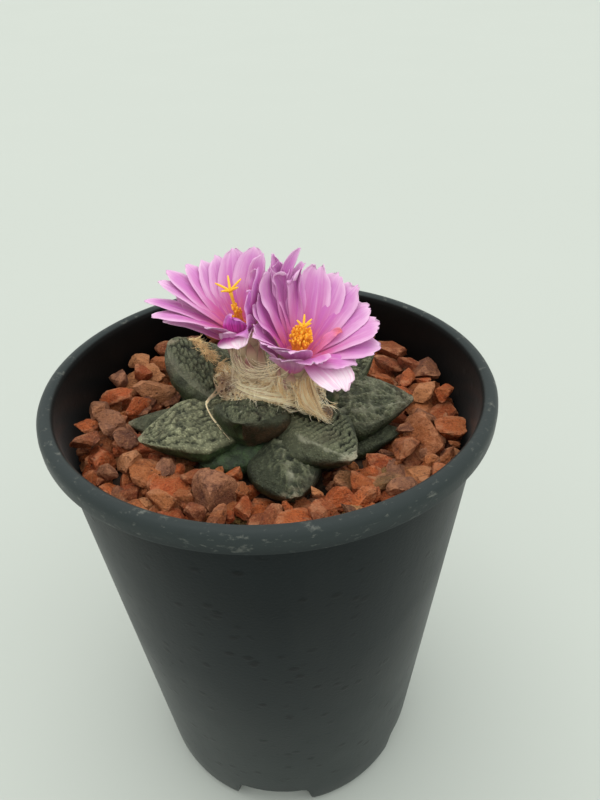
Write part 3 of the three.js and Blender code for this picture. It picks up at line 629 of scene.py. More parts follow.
def make_pot():
    # columns round the pot: angle in degrees and how far a notch lifts the foot there
    angles = []
    for k in range(NOTCHES):
        middle = NOTCH_FIRST + k * 360 / NOTCHES
        for (a0, h0), (a1, h1) in zip(NOTCH, NOTCH[1:]):
            steps = 6 if a1 - a0 > 8 else (3 if h0 != h1 else 1)
            angles += [(middle + lerp(a0, a1, s / steps), lerp(h0, h1, s / steps)) for s in range(steps)]
        end = NOTCH[-1][0]
        angles += [(middle + lerp(end, 360 / NOTCHES - end, s / 18), 0) for s in range(18)]
    skirt_in, skirt_out = POT_SECTION[:3], POT_SECTION[4:10]
    verts = []
    for a, lift in angles:
        t = radians(a)
        wave = 0.12 * sin(2 * t + 0.7) + 0.06 * sin(5 * t + 2)
        for k, (r, z) in enumerate(POT_SECTION):
            if z <= FLOOR_UNDER and k < 10 and lift > 0:
                z = lift + z * (FLOOR_UNDER - lift) / FLOOR_UNDER
                r = wall_radius(skirt_in, max(z, 0.26)) if k < 4 else wall_radius(skirt_out, z)
            if k > 12:
                r += wave * smooth(118, 122, z) * 0.5
            verts.append((r * cos(t), r * sin(t), z))
    n, m = len(angles), len(POT_SECTION)
    low, high = n * m, n * m + 1
    verts += [(0, 0, FLOOR_UNDER), (0, 0, FLOOR_TOP)]
    faces, caps = [], []
    for i in range(n):
        j = (i + 1) % n
        faces += [(i * m + k, j * m + k, j * m + k + 1, i * m + k + 1) for k in range(m - 1)]
        caps += [(low, j * m, i * m), (high, i * m + m - 1, j * m + m - 1)]
    b = Build()
    b.add(verts, faces + caps)
    pot = b.object("nursery_pot", ["pot"], 32)
    cutters = []
    for k in range(NOTCHES):
        t = radians(NOTCH_FIRST + k * 360 / NOTCHES)
        bpy.ops.mesh.primitive_cylinder_add(
            vertices=32, radius=DRAIN_RADIUS * MM, depth=6 * MM,
            location=(DRAIN_REACH * MM * cos(t), DRAIN_REACH * MM * sin(t), 11 * MM))
        cutters.append(bpy.context.object)
    bpy.ops.object.select_all(action="DESELECT")
    for c in cutters:
        c.select_set(True)
    bpy.context.view_layer.objects.active = cutters[0]
    bpy.ops.object.join()
    cutter = bpy.context.object
    bpy.ops.object.select_all(action="DESELECT")
    pot.select_set(True)
    bpy.context.view_layer.objects.active = pot
    cut = pot.modifiers.new("drains", "BOOLEAN")
    cut.operation, cut.object, cut.solver = "DIFFERENCE", cutter, "EXACT"
    bpy.ops.object.modifier_apply(modifier="drains")
    bpy.data.objects.remove(cutter)
    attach(pot, "root")
    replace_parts(pot, "pot")


# Cactus

def tubercle_width(u, blunt):
    spread = 0.6 + 0.4 * sin(pi / 2 * min(1, u / 0.5))
    if u <= 0.5:
        return spread
    s = (u - 0.5) / 0.5
    return (1 - blunt) * (1 - 0.95 * s ** 1.15) + blunt * sqrt(max(0.05, 1 - 0.9 * s * s))


def ridge_line(value, sharp):
    """1 on a line where a field passes zero, falling away on both sides."""
    return exp(-(value * sharp) ** 2)


def cells(s, t, seed):
    """Distance to the cell middle and to its wall, in a field of rounded cells."""
    d = noise.voronoi(Vector((s, t, seed * 3.1)))[0]
    return d[0], d[1] - d[0]


def lump(s, t, seed):
    """Rounded lumps with sharp creases between them, 0 in the creases."""
    return abs(field(s, t, seed * 3.7))


def relief(style, s, t, x, u, seed):
    """Height in mm and paleness of the rough top at s along and t across, both in mm."""
    bend = field(s * 0.22, t * 0.22, seed + 11)
    bend2 = field(s * 0.5, t * 0.5, seed + 17)
    grain = field(s * 1.5, t * 1.5, seed) * 0.09 + field(s * 0.45, t * 0.45, seed + 5) * 0.22
    pale = 0
    if style == "warty":
        h = 0.7 * min(0.4, lump(s * 0.7 + bend, t * 0.62, seed)) - 0.5
        h += 0.55 * lump(s * 1.5, t * 1.35 + bend, seed + 3)
        h += 0.45 * lump(s * 2.9 + bend, t * 2.6, seed + 4)
        row = field(s * 0.25, t * 0.25, seed + 2)
        h -= 0.3 * ridge_line(sin(abs(x) * 8 + 3 * row), 4) + 0.1 * bend2
    elif style == "ridged":
        a, c = s * 0.82 + t * 0.57, -s * 0.57 + t * 0.82
        near, wall = cells(a * 0.4 + bend * 0.5, c * 0.95 + bend2 * 0.4, seed)
        h = 0.16 - 0.3 * near * near - 0.46 * ridge_line(wall, 8) + 0.4 * lump(s, t, seed)
        h *= 0.25 + 0.75 * smooth(-0.7, -0.4, x)
        pale = 0.2 * smooth(-0.5, -0.75, x)
    elif style == "cracked":
        long = field(s * 0.2 + bend * 0.4, t * 0.11, seed + 21)
        fork = field(s * 0.16, t * 0.3 + bend * 0.5, seed + 27)
        h = -0.24 - 0.5 * ridge_line(long, 15) - 0.34 * ridge_line(fork, 15)
        h += 0.6 * min(0.3, lump(s * 0.7, t * 0.95, seed))
        h += 0.8 * lump(s * 1.5, t * 1.9, seed + 3) + 0.4 * lump(s * 3.1, t * 3.5, seed + 4)
        pale = 0.8 * ridge_line(hypot(s - 12, t - 0.6), 4.5)
    elif style == "fissured":
        wave = sin(s * 2.3 + 3.6 * bend + 0.3 * abs(t) + 1.9 * bend2)
        strong = 0.25 + 0.75 * smooth(0.3, -0.1, x)
        rough = 0.5 * lump(s * 0.9, t * 0.9, seed) + 0.4 * lump(s * 1.8, t * 1.8, seed + 3) - 0.2
        h = 0.3 - 0.85 * strong * ridge_line(wave, 2.3) + rough * (0.3 + 0.7 * strong)
        h -= 0.9 * ridge_line(x + 0.1 + 0.5 * u, 1 / 0.09) * smooth(0.6, 0.4, u)
        h *= 1 - 0.6 * smooth(0.5, 0.62, x)
        edge = ridge_line(x - 0.52 + 0.1 * bend2 + 0.06 * bend, 20)
        pale = 0.6 * edge * smooth(0.35, 0.5, u) + smooth(0.9, 1, u)
    elif style == "veined":
        a = field(s * 0.16, t * 0.26 + 3, seed)
        c = field(s * 0.2 + 9, t * 0.14, seed + 3)
        line = max(ridge_line(a, 13), 0.8 * ridge_line(c, 12))
        h = 0.3 * line + 0.85 * lump(s * 0.9, t * 0.9, seed) + 0.6 * lump(s * 1.9, t * 1.7, seed + 3) - 0.3
        pale = 0.28 * line + 0.3 * ridge_line(x - 0.5 + 0.06 * bend2, 16)
    elif style == "crusted":
        wave = field(s * 0.3 + bend, t * 0.6, seed)
        h = 0.34 * ridge_line(wave, 7) + 0.7 * lump(s * 0.8, t * 0.7, seed)
        h += 0.4 * lump(s * 1.7, t * 1.6, seed + 3) - 0.24
        h *= 0.3 + 0.7 * smooth(0.5, 0.2, x)
        streak = ridge_line(x - 0.05 + 0.2 * bend2, 10) * smooth(0.45, 0.8, u)
        pale = streak * (0.34 + 0.5 * bend2) + 0.22 * ridge_line(wave, 9) * smooth(0.2, 0, x)
    else:
        near, wall = cells(s * 0.5, t * 0.4, seed)
        h = 0.1 - 0.12 * ridge_line(wall, 5) - 0.1 * near
    return h + grain, clamp(pale)


# The underside across, from the left shoulder to the right one, as shares of half width and depth
FLANK = [(-0.86, 0), (-0.95, -0.07), (-0.995, -0.2), (-0.985, -0.36), (-0.9, -0.54), (-0.7, -0.74),
         (-0.42, -0.9), (-0.14, -0.99), (0.14, -0.99), (0.42, -0.9), (0.7, -0.74), (0.9, -0.54),
         (0.985, -0.36), (0.995, -0.2), (0.95, -0.07), (0.86, 0)]
SHOULDER = 0.86


def tubercle(b, spec, seed, top_steps, flank_steps, rows):
    root, tip, width, depth, roll, blunt, heel, crown, ridge, style, light = spec
    a, c = Vector(root), Vector(tip)
    axis = (c - a).normalized()
    side = Quaternion(axis, radians(roll)) @ axis.cross(Vector((0, 0, 1))).normalized()
    up = side.cross(axis)
    length = (c - a).length
    # rings along it, closed by a dome: place along, share of the size, share of the dome
    rings = [(1 - (1 - k / rows) ** 1.15, 1, 0) for k in range(rows + 1)]
    rings += [(1, sqrt(1 - q * q), q) for q in (0.35, 0.65, 0.86, 0.97)]
    end_wide = width / 2 * tubercle_width(1, blunt)
    across = np.array(FLANK)
    flank = [smooth_point(across, k / flank_steps * (len(FLANK) - 1)) for k in range(flank_steps)]
    verts, crest, under, pale, tips, rust = [], [], [], [], [], []
    for u, shrink, dome in rings:
        wide = width / 2 * tubercle_width(u, blunt)
        deep = depth * (0.9 + 0.1 * (u / 0.4) if u < 0.4 else 1 - (1 - heel) * ((u - 0.4) / 0.6) ** 1.5)
        deep *= 1 - 0.35 * smooth(0.9, 1, u)
        reach = u * length + dome * min(0.9, 0.6 * end_wide)
        rise = 0.09 * depth * sin(pi * u)
        rake = 0.5 * smooth(0.4, 1, u)
        for k in range(top_steps + flank_steps):
            if k < top_steps:
                x = SHOULDER * (1 - 2 * k / top_steps)
                fade = smooth(SHOULDER, 0.74, abs(x)) * smooth(0, 0.08, u) * smooth(1, 0.97, u)
                h, mark = relief(style, u * length, x * wide, x, u, seed)
                slope = (x - ridge) / (SHOULDER - ridge) if x > ridge else (ridge - x) / (SHOULDER + ridge)
                y = crown * wide * (1 - slope ** 1.35) + h * fade
                # the colour follows the height of the relief: painted shade in its hollows, painted light
                # on its raised parts
                crest.append(clamp(0.52 + 0.9 * h * (0.3 + 0.7 * fade)))
                under.append(0.25 * smooth(0.66, 0.84, abs(x)))
                pale.append(mark)
            else:
                x, y = flank[k - top_steps]
                y *= deep
                g = field(u * length * 0.3, x * 2.2, seed + 50)
                g += 0.6 * field(u * length * 0.8, y * 0.9, seed + 60)
                g += 0.3 * field(u * length * 2.2, y * 2.2, seed + 70)
                crest.append(clamp(0.45 + 0.3 * g))
                full = (-0.22 if seed == DARK_FLANK else -0.5) * deep
                under.append(0.25 + 0.75 * smooth(0, full, y))
                x *= 1 + 0.035 * g
                y *= 1 + 0.03 * g
                pale.append(0)
            tips.append(0 if seed == BROWN_SIDE else smooth(0.93, 1, u) * 0.7)
            rust.append(smooth(0.1, -0.3, x) if seed == BROWN_SIDE else 0)
            back = rake * max(0, -y)
            verts.append(a + axis * (reach - back) + side * (x * wide * shrink) + up * (y * shrink + rise))
    b.add(verts, barrel_faces(len(rings), top_steps + flank_steps, True), crest=crest, under=under,
          tip=tips, pale=pale, tint=light, rust=rust)


def make_cactus():
    b = Build()
    sides = 28
    rings = []
    for (z0, r0), (z1, r1) in zip(STEM, STEM[1:]):
        rings += [(lerp(z0, z1, s / 3), lerp(r0, r1, s / 3)) for s in range(3)]
    rings.append(STEM[-1])
    verts = []
    for z, r in rings:
        for t in turns(sides):
            w = r * (0.97 + 0.05 * field(cos(t) * 2, sin(t) * 2, z * 0.12))
            verts.append((w * cos(t), w * sin(t), z))
    b.add(verts, barrel_faces(len(rings), sides), crest=0.35, under=0.9)
    ways, faces = sphere(5)
    for k, (middle, half) in enumerate(SADDLES):
        verts = []
        for d in ways:
            size = 1 + 0.06 * noise.noise(Vector(d) * 2.5 + Vector((k, 0, 0)))
            verts.append([middle[i] + half[i] * d[i] * size for i in range(3)])
        b.add(verts, faces, crest=0.4, under=0.95)
    # the first nine, which the photograph shows, are finer
    for k, spec in enumerate(TUBERCLES):
        steps = (56, 26, 72) if k < 9 else (36, 18, 46)
        tubercle(b, spec, k + 1, *steps)
    body = b.object("living_rock_body", ["cactus"])
    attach(body, "root")
    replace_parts(body, "cactus_body")
    return body


# Crushed stone

BED_RADIUS = 46.3
# A stone with its top below this height can't be seen
HIDDEN_BELOW = 103.5


def wall_inside(z):
    """Radius of the pot's inner wall, as on the solids."""
    return 38.9 + (z - FLOOR_TOP) * (47.1 - 38.9) / 108


def crowded(x, y, group, share, own):
    """Whether a place is nearer to a stone of the group than that share of its size and own mm."""
    return any(hypot(p[0] - x, p[1] - y) < share * p[3] + own for p in group)


def large_stones():
    """Place, size and seed of the stones that the solids have too, here a little smaller."""
    random = seeded(71)
    places = []
    for k in range(3000):
        size = 3.4 + 2.6 * random() ** 1.5
        r = sqrt(random()) * (46.6 - size * 0.75)
        a = 2 * pi * random()
        x, y = r * cos(a), r * sin(a)
        if r < 21 or crowded(x, y, places, 0.9, 0.9 * size):
            continue
        places.append((x, y, 109.6 + 2.2 * (random() - 0.5), size, 1000 + k))
    return [(x, y, z, size * 0.96, seed) for x, y, z, size, seed in places]


def stone_form(size, seed, level):
    """A chipped stone round its own middle: flat chips with worn edges, then roughness."""
    random = seeded(seed)
    half = np.array([size * (1.0 + 0.5 * random()), size * (0.66 + 0.34 * random()),
                     size * (0.5 + 0.3 * random())])
    # draws that the solids spend on the corners of their stones; skipped, so that both turn alike
    for _ in range(21):
        random()
    turn = (0.9 * (random() - 0.5), 0.9 * (random() - 0.5), 2 * pi * random())
    ways, faces = sphere(level)
    sharp = 70 + 70 * random()
    total = np.full(len(ways), 1.25 ** -sharp)
    sides = [(1, 0, 0), (-1, 0, 0), (0, 1, 0), (0, -1, 0), (0, 0, 1), (0, 0, -1), None, None, None]
    for way in sides:
        jitter = wobble(random)
        near = 0.5 + 0.36 * random() if way else 0.66 + 0.22 * random()
        way = (Vector(way) + jitter * 1.15).normalized() if way else jitter.normalized()
        total += np.maximum(ways @ np.array(way[:]), 0.0) ** sharp / near ** sharp
    reach = total ** (-1 / sharp)
    points = ways * reach[:, None] * half * 1.02
    turned = np.array((Matrix.Rotation(turn[2], 3, "Z") @ Matrix.Rotation(turn[1], 3, "Y")
                       @ Matrix.Rotation(turn[0], 3, "X")))
    out = []
    for p, d in zip(points, ways):
        q = Vector(p)
        rough = 0.04 * size * noise.noise(q * (1.7 / size) + Vector((seed % 97, 0, 0)))
        chips = 0.13 * noise.noise(q + Vector((0, seed % 89, 0))) + 0.12 * abs(noise.noise(q * 2.3))
        rough += min(1, size / 3) * (chips - 0.05 + 0.07 * noise.noise(q * 4.6))
        out.append(Vector(turned @ (p + d * rough)))
    return out, faces, np.clip((reach - 0.72) / 0.3, 0, 1)


def make_gravel(plant):
    tree = BVHTree.FromObject(plant, bpy.context.evaluated_depsgraph_get())
    random = seeded(400)

    def room(x, y, size, top):
        """How far a stone has to sink to stay under the plant above it."""
        drop = 0
        for i in range(9):
            r = size * 0.8 if i else 0
            a = 2 * pi * i / 8
            start = Vector((x + r * cos(a), y + r * sin(a), 101)) * MM
            hit = tree.ray_cast(start, Vector((0, 0, 1)))[0]
            if hit is not None:
                reach = top - (size * 0.22 if i else 0)
                drop = max(drop, reach - (hit.z / MM - 0.2))
        return drop

    def scatter(into, tries, least, span, start, level, spread, against, first_seed):
        """Adds stones of least mm and up to span more, from start mm outwards, round a level,
        where they aren't too near to those in the groups against."""
        for k in range(tries):
            size = least + span * random()
            r = sqrt(random()) * (BED_RADIUS - size * 0.8)
            a = 2 * pi * random()
            x, y = r * cos(a), r * sin(a)
            if r < start or any(crowded(x, y, group, f, 0.75 * size) for group, f in against):
                continue
            into.append((x, y, level + spread * (random() - 0.5), size, first_seed + k))

    big, medium, small, between, under = large_stones(), [], [], [], []
    scatter(medium, 4000, 2.4, 1.6, 15, 110.6, 2.6, [(big, 0.6), (medium, 0.72)], 5000)
    scatter(small, 2200, 1.3, 1.1, 13, 110.2, 1.6, [(big, 0.66), (medium, 0.66), (small, 0.8)], 9000)
    scatter(under, 900, 2.8, 1.8, 12, 106.8, 1.4, [(under, 0.7)], 20000)
    scatter(between, 1200, 2.4, 1.4, 14, 108.9, 1.2, [(between, 0.78)], 25000)

    # a second layer piled up towards the wall at the back and the left
    heap = []
    for k in range(1500):
        size = 2.6 + 2.2 * random()
        r, a = 30 + 16 * random() ** 0.6, radians(6 + 190 * random())
        x, y = r * cos(a), r * sin(a)
        if r > BED_RADIUS - 0.8 * size or crowded(x, y, heap, 0.72, 0.72 * size):
            continue
        heap.append((x, y, 112.2 + 2.2 * smooth(30, 42, r) + random() - 0.5, size, 30000 + k))

    def lay(b, group, level):
        """Adds the stones of a group, under the plant and inside the wall."""
        for x, y, z, size, seed in group:
            corners, faces, edge = stone_form(size, seed, level)
            top = max(p.z for p in corners)
            z -= room(x, y, size, z + top)
            if z + top < HIDDEN_BELOW:
                continue
            wall = wall_inside(z) - 0.3
            far = max(hypot(p.x + x, p.y + y) for p in corners)
            if far > wall:
                share = (hypot(x, y) - (far - wall)) / hypot(x, y)
                x, y = x * share, y * share
            place = Vector((x, y, z))
            b.add([p + place for p in corners], faces, kind=random(), edge=list(edge))

    def settle_piece(b, name):
        gravel = b.object(name, ["stone", "soil"], 17)
        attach(gravel, "root")
        return gravel

    b = Build()
    near = [p for p in big if p[1] < 16 or p[3] > 4.6]
    lay(b, near, 4)
    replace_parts(settle_piece(b, "crushed_stone"), "gravel")
    b = Build()
    lay(b, [p for p in big if p not in near], 3)
    lay(b, medium + heap, 3)
    lay(b, small + between + under, 2)
    # the dark ground under the stones
    sides = 96
    rows = [(0.2, 105.2), (12, 105.2), (20, 105.2), (28, 105.2), (36, 105.2), (42, 105.2), (45.2, 105.2),
            (45.3, 104), (45, 100.3), (0.2, 100.3)]
    verts = []
    for k, (r, z) in enumerate(rows):
        for t in turns(sides):
            x, y = r * cos(t), r * sin(t)
            h = 0.9 * field(x * 0.4, y * 0.4, 2) if 0 < k < 6 else 0
            verts.append((x, y, z + h))
    b.add(verts, barrel_faces(len(rows), sides, True), None, 1, kind=0.1)
    settle_piece(b, "crushed_stone_fill")


# Flowers

# The petals are drawn wider than the table says, so that they overlap
PETAL_SPREAD = 1.2


def divide(y, z):
    """Where the two blooms part: the right one reaches left in front and above."""
    front = smooth(4, -2, y)
    return -1.2 + 0.33 * y - 0.35 * clamp(z - 137, -5, 5) * front


def keep_side(p, side, near=0.25, margin=2.2):
    """Bends a point that comes near to the divide back to its own side, down to near mm from it."""
    distance = side * (p.x - divide(p.y, p.z))
    if distance >= margin:
        return p
    kept = near + (margin - near) * exp((distance - margin) / (margin - near))
    return Vector((p.x + side * (kept - distance), p.y, p.z))


def petal_width(u, slim):
    """Share of the full width; a slim petal narrows earlier to a rounder tip."""
    start = 0.64 - 0.08 * slim
    if u < start:
        return 0.2 + 0.8 * sin(pi / 2 * (u / start)) ** 1.05
    return max(0.06, 1 - ((u - start) / (1.01 - start)) ** (3.2 - 1.0 * slim)) ** (0.55 + 0.12 * slim)


def bezier(p0, p1, p2, p3, t):
    s = 1 - t
    point = p0 * s ** 3 + p1 * 3 * s * s * t + p2 * 3 * s * t * t + p3 * t ** 3
    tangent = (p1 - p0) * 3 * s * s + (p2 - p1) * 6 * s * t + (p3 - p2) * 3 * t * t
    return point, tangent.normalized()


def blade(b, grid, uvs, half, mat, **attrs):
    """A closed leaf from a grid of points; half gives its half thickness at each row."""
    rows, columns = len(grid), len(grid[0])
    verts, coords = [], []
    for sign in (1, -1):
        for i in range(rows):
            for j in range(columns):
                along = grid[min(i + 1, rows - 1)][j] - grid[max(i - 1, 0)][j]
                across = grid[i][min(j + 1, columns - 1)] - grid[i][max(j - 1, 0)]
                normal = along.cross(across).normalized()
                thin = half[i] * (1 - 0.9 * abs(2 * j / (columns - 1) - 1) ** 4)
                if i == rows - 1:
                    thin *= 0.2
                verts.append(grid[i][j] + normal * sign * thin)
                coords.append(uvs[i][j])
    size = rows * columns
    faces = []
    for i in range(rows - 1):
        for j in range(columns - 1):
            a = i * columns + j
            q = (a, a + 1, a + columns + 1, a + columns)
            faces.append(q[::-1])
            faces.append(tuple(size + k for k in q))
    # the two sides are joined all round the edge
    edge = list(range(columns - 1)) + [i * columns + columns - 1 for i in range(rows - 1)]
    edge += [(rows - 1) * columns + j for j in range(columns - 1, 0, -1)]
    edge += [i * columns for i in range(rows - 1, 0, -1)]
    for k, a in enumerate(edge):
        c = edge[(k + 1) % len(edge)]
        faces.append((a, c, size + c, size + a))
    b.add(verts, faces, coords, mat, **attrs)


def petal_tones(side, bearing, rise, wild, random):
    """How much of each tone a petal takes; the ones turned from the light are deeper or duskier."""
    tones = dict(tone=random(), pale=0.14 * random(), deep=0, dusk=0)
    if rise < 0:
        tones["pale"] = 0.9
    if side < 0 and -70 < bearing < 20:
        tones["dusk"] = 0.8
    elif side > 0 and 145 < bearing < 200:
        tones["dusk"] = 0.4
    elif wild > 0.3:
        tones["dusk"] = 0.35 * wild
    if side < 0 and -110 < bearing < -100:
        tones.update(deep=2.5, dusk=1, pale=0)
    elif side < 0 and -110 < bearing < 20:
        tones["deep"] = 1
    elif side > 0 and 140 < bearing < 230:
        tones["deep"] = 0.45
    return tones


def petal(b, bloom, spec, sink, random, outer=False):
    """Adds a petal; sink sets its start lower on the tube, in mm."""
    bearing, reach, rise, width, tip_angle, wild, swing, warm = (tuple(spec) + (0, 0, 0))[:8]
    side_way, from_middle, wild = bloom["side"], wild < 0, abs(wild)
    slim = 0.9 if side_way < 0 else 0.3
    axis = Vector(bloom["lean"]).normalized()
    throat = Vector(bloom["throat"])
    t = radians(bearing)
    level = Vector((cos(t), sin(t), 0))
    tip = throat + level * reach + Vector((0, 0, rise))
    out = (level - axis * level.dot(axis)).normalized()
    if from_middle:
        start = throat + out * 1.3 - axis * 0.3
    else:
        start = throat + out * (2.7 + 0.2 * sink) - axis * (0.9 + sink)
    arm = (tip - start).length
    opening = radians(24 if rise > 8 else (78 if from_middle else 42))
    c1 = start + axis * (0.36 * arm * cos(opening)) + out * (0.36 * arm * sin(opening))
    ta = radians(tip_angle)
    c2 = tip - level * (0.34 * arm * cos(ta)) - Vector((0, 0, 0.34 * arm * sin(ta)))
    c1 += Vector((0.7 * swing, 0, 0))
    c2 += Vector((swing, 0, 0))
    side = axis.cross(out).normalized()
    cup = 0.01 + 0.05 * random()
    roll = 0.2 + 0.1 * (random() - 0.5)
    seed = random() * 40
    width *= PETAL_SPREAD
    rows, columns = 32, 23
    grid, uvs, half = [], [], []
    for i in range(rows):
        # the rows stand closer towards the tip
        u = i / (rows - 1)
        u = u * 0.8 + 0.2 * (1 - (1 - u) ** 2)
        middle, tangent = bezier(start, c1, c2, tip, min(u, 1))
        turn = roll * min(1, 2 * u) + wild * 1.1 * sin(2.6 * u + seed) * u
        across = Quaternion(tangent, turn) @ side
        normal = across.cross(tangent).normalized()
        w = width / 2 * petal_width(u, slim)
        row, coords = [], []
        for j in range(columns):
            v = 2 * j / (columns - 1) - 1
            uneven = 1 + 0.08 * field(u * 3.2, seed, 7 * (v > 0))
            uneven += 0.09 * field(u * 17, seed, 7 * (v > 0)) * smooth(0.6, 0.9, u)
            ripple = (0.2 + 1.5 * wild) * field(u * 2.6, v * 0.9, seed) * u
            frill = (0.3 + 2.6 * wild) * field(u * 5 + 3, v * 1.3, seed + 5) * v * v * smooth(0.3, 0.9, u)
            pleat = 0.05 * sin(9 * v + seed) * min(1, 2 * u) * (1 - v * v)
            crease = -0.1 * exp(-(v / 0.12) ** 2) * min(1, 2.5 * (1 - u))
            lift = -width * cup * (v * v - 0.3) * min(1, 0.4 + u)
            p = middle + across * (v * w * uneven) + normal * (lift + ripple + frill + crease + pleat)
            if u > 0.86:
                tooth = 0.7 * field(v * w * 0.7, seed, 3) + 0.7 * field(v * w * 1.6, seed, 8)
                tooth *= 0.8 if slim > 0.5 else 1.5
                p += tangent * ((u - 0.86) / 0.14 * (tooth - 0.3 * v * v))
            row.append(keep_side(p, side_way))
            coords.append((u, (v + 1) / 2))
        grid.append(row)
        uvs.append(coords)
        half.append(lerp(0.26, 0.1, u))
    tones = petal_tones(side_way, bearing, rise, wild, random)
    if outer:
        tones.update(tone=0.55 + 0.3 * tones["tone"], pale=max(tones["pale"], 0.25))
    blade(b, grid, uvs, half, 0, warm=warm, **tones)


def tube_path(bloom, u):
    """Middle of the floral tube at a share of its length, with its direction and two across it."""
    foot, throat = Vector(bloom["foot"]), Vector(bloom["throat"])
    axis = Vector(bloom["lean"]).normalized()
    middle = throat - axis * 8
    s = 1 - u
    way = ((middle - foot) * 2 * s + (throat - middle) * 2 * u).normalized()
    return foot * s * s + middle * 2 * s * u + throat * u * u, way, *cross_axes(way)


def tube_radius(u):
    marks = [(0, 3.2), (0.3, 3.4), (0.65, 3.5), (0.9, 3.6), (1, 3.2)]
    for (u0, r0), (u1, r1) in zip(marks, marks[1:]):
        if u <= u1:
            return lerp(r0, r1, smooth(u0, u1, u))
    return 3.2


def make_flower(bloom, name, node):
    b = Build()
    random = seeded(bloom["seed"])
    rings, sides = 22, 28
    verts, uvs, inside = [], [], []
    for k in range(rings):
        u = k / (rings - 1)
        middle, _, e1, e2 = tube_path(bloom, u)
        for t in turns(sides):
            w = tube_radius(u) * (1 + 0.04 * sin(7 * t))
            verts.append(middle + (e1 * cos(t) + e2 * sin(t)) * w)
            uvs.append((u * 0.5, t / (2 * pi)))
            inside.append(smooth(0.86, 0.95, u))
    b.add(verts, barrel_faces(rings, sides), uvs, 1, tone=inside)
    order = sorted(bloom["petals"])
    for spec in order:
        petal(b, bloom, spec, 0, random)
    # outer petals, lower on the tube, halfway between two inner ones
    for k, spec in enumerate(order):
        following = order[k + 1] if k + 1 < len(order) else (order[0][0] + 360,) + order[0][1:]
        if k % 2 or spec[1] < 9 or min(spec[2], following[2]) < 2:
            continue
        between = [(p + q) / 2 for p, q in zip(spec[:5], following[:5])]
        between[1] *= 0.86
        between[2] = between[2] * 0.74 - 1.6
        petal(b, bloom, between, 2.6, random, outer=True)
    # bracts on the tube
    for k in range(19):
        u0 = 0.16 + 0.66 * (k / 18)
        t = GOLDEN * k + bloom["seed"]
        length = lerp(6, 9, random())
        grid, coords = [], []
        for i in range(9):
            s = i / 8
            u = min(1.0, u0 + s * length / 17)
            middle, tangent, e1, e2 = tube_path(bloom, u)
            over = max(0.0, u0 + s * length / 17 - 1) * 17
            w = 1.35 * sin(pi * (0.2 + 0.78 * s)) ** 0.9 * (1 - 0.4 * s) + 0.03
            r = tube_radius(u) + 0.3 + 0.5 * s * s + 0.4 * over
            row = []
            for j in range(7):
                a = t + (j / 3 - 1) * w / tube_radius(u)
                row.append(middle + (e1 * cos(a) + e2 * sin(a)) * r + tangent * over * 0.8)
            grid.append(row)
            coords.append([(s, j / 6) for j in range(7)])
        blade(b, grid, coords, [0.14] * 9, 1)
    flower = b.object(name, ["petal", "bract"])
    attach(flower, "root")
    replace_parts(flower, node)


def make_stamens(bloom, name, node, count, spread, height, style, lobes, reach):
    """The stamens of a bloom, and its style, which ends in lobes that reach outwards."""
    b = Build()
    random = seeded(bloom["seed"] + 500)
    axis = Vector(bloom["lean"]).normalized()
    e1, e2 = cross_axes(axis)
    base = Vector(bloom["throat"]) + axis * 0.3
    shares = (0, 0.25, 0.5, 0.75, 1)

    def place(x, y, z):
        return base + e1 * x + e2 * y + axis * z

    def tube(points, radii, sides, kind, rosy):
        b.add(*tube_mesh(points, radii, sides), kind=kind, rosy=rosy)

    tube([place(0, 0, z) for z in (-0.6, 0, 0.4, 0.7)], [1.7, 1.6, 1.3, 0.7], 20, 0, 1)
    for k in range(count):
        a = GOLDEN * k
        r = sqrt((k + 0.5) / count)
        top = height * (1 - 0.3 * r * r) * (0.56 + 0.54 * random())
        start = place(1.3 * r * cos(a), 1.3 * r * sin(a), 0.1)
        bow = a + 0.6 * (random() - 0.5)
        mid = place(spread * 0.75 * r * cos(a), spread * 0.75 * r * sin(a), top * 0.55)
        end = place(spread * r * cos(bow), spread * r * sin(bow), top)
        points = [start.lerp(mid, s).lerp(mid.lerp(end, s), s) for s in shares]
        tube(points, [0.13, 0.12, 0.11, 0.1, 0.09], 5, 0.4, 0.35)
        d = (end - mid).normalized()
        d = (d + wobble(random, 0.8)).normalized()
        size = 0.75 + 0.3 * random()
        points = [end + d * size * (s - 0.5) for s in (0, 0.12, 0.35, 0.65, 0.88, 1)]
        tube(points, [0.07, 0.21, 0.28, 0.28, 0.2, 0.07], 7, 0, 0)
    points = [place(0, 0, z) for z in np.linspace(0.5, style, 6)]
    tube(points, [0.42, 0.36, 0.33, 0.33, 0.36, 0.5], 10, 1, 0.1)
    for k in range(lobes):
        a = 2 * pi * (k + 0.3) / lobes + 0.3 * (random() - 0.5)
        rise = 1.2 + 0.6 * random()
        points = [place(reach * s * cos(a), reach * s * sin(a), style - 0.4 + rise * 1.4 * s ** 0.8)
                  for s in shares]
        tube(points, [0.32, 0.3, 0.27, 0.25, 0.14], 8, 1, 0)
    obj = b.object(name, ["stamen"])
    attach(obj, "root")
    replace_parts(obj, node)


# Wool

# A hair nearer to the skin than the first, in metres, is lifted to the second
SKIN_NEAR, SKIN_LIFT = 0.00012, 0.00014


def wool_field(p):
    """Rough distance in mm from the wool mass and the way out of it."""
    best, out = 1e9, Vector((0, 0, 1))
    for middle, half in WOOL:
        d = Vector([(p[i] - middle[i]) / half[i] for i in range(3)])
        value = (d.length - 1) * min(half)
        if value < best:
            best, out = value, Vector([d[i] / half[i] for i in range(3)]).normalized()
    return best, out


def follow(path, t):
    """A point on a smooth curve through the path, t from 0 to 1."""
    return smooth_point([Vector(p) for p in path], clamp(t, 0, 0.9999) * (len(path) - 1))


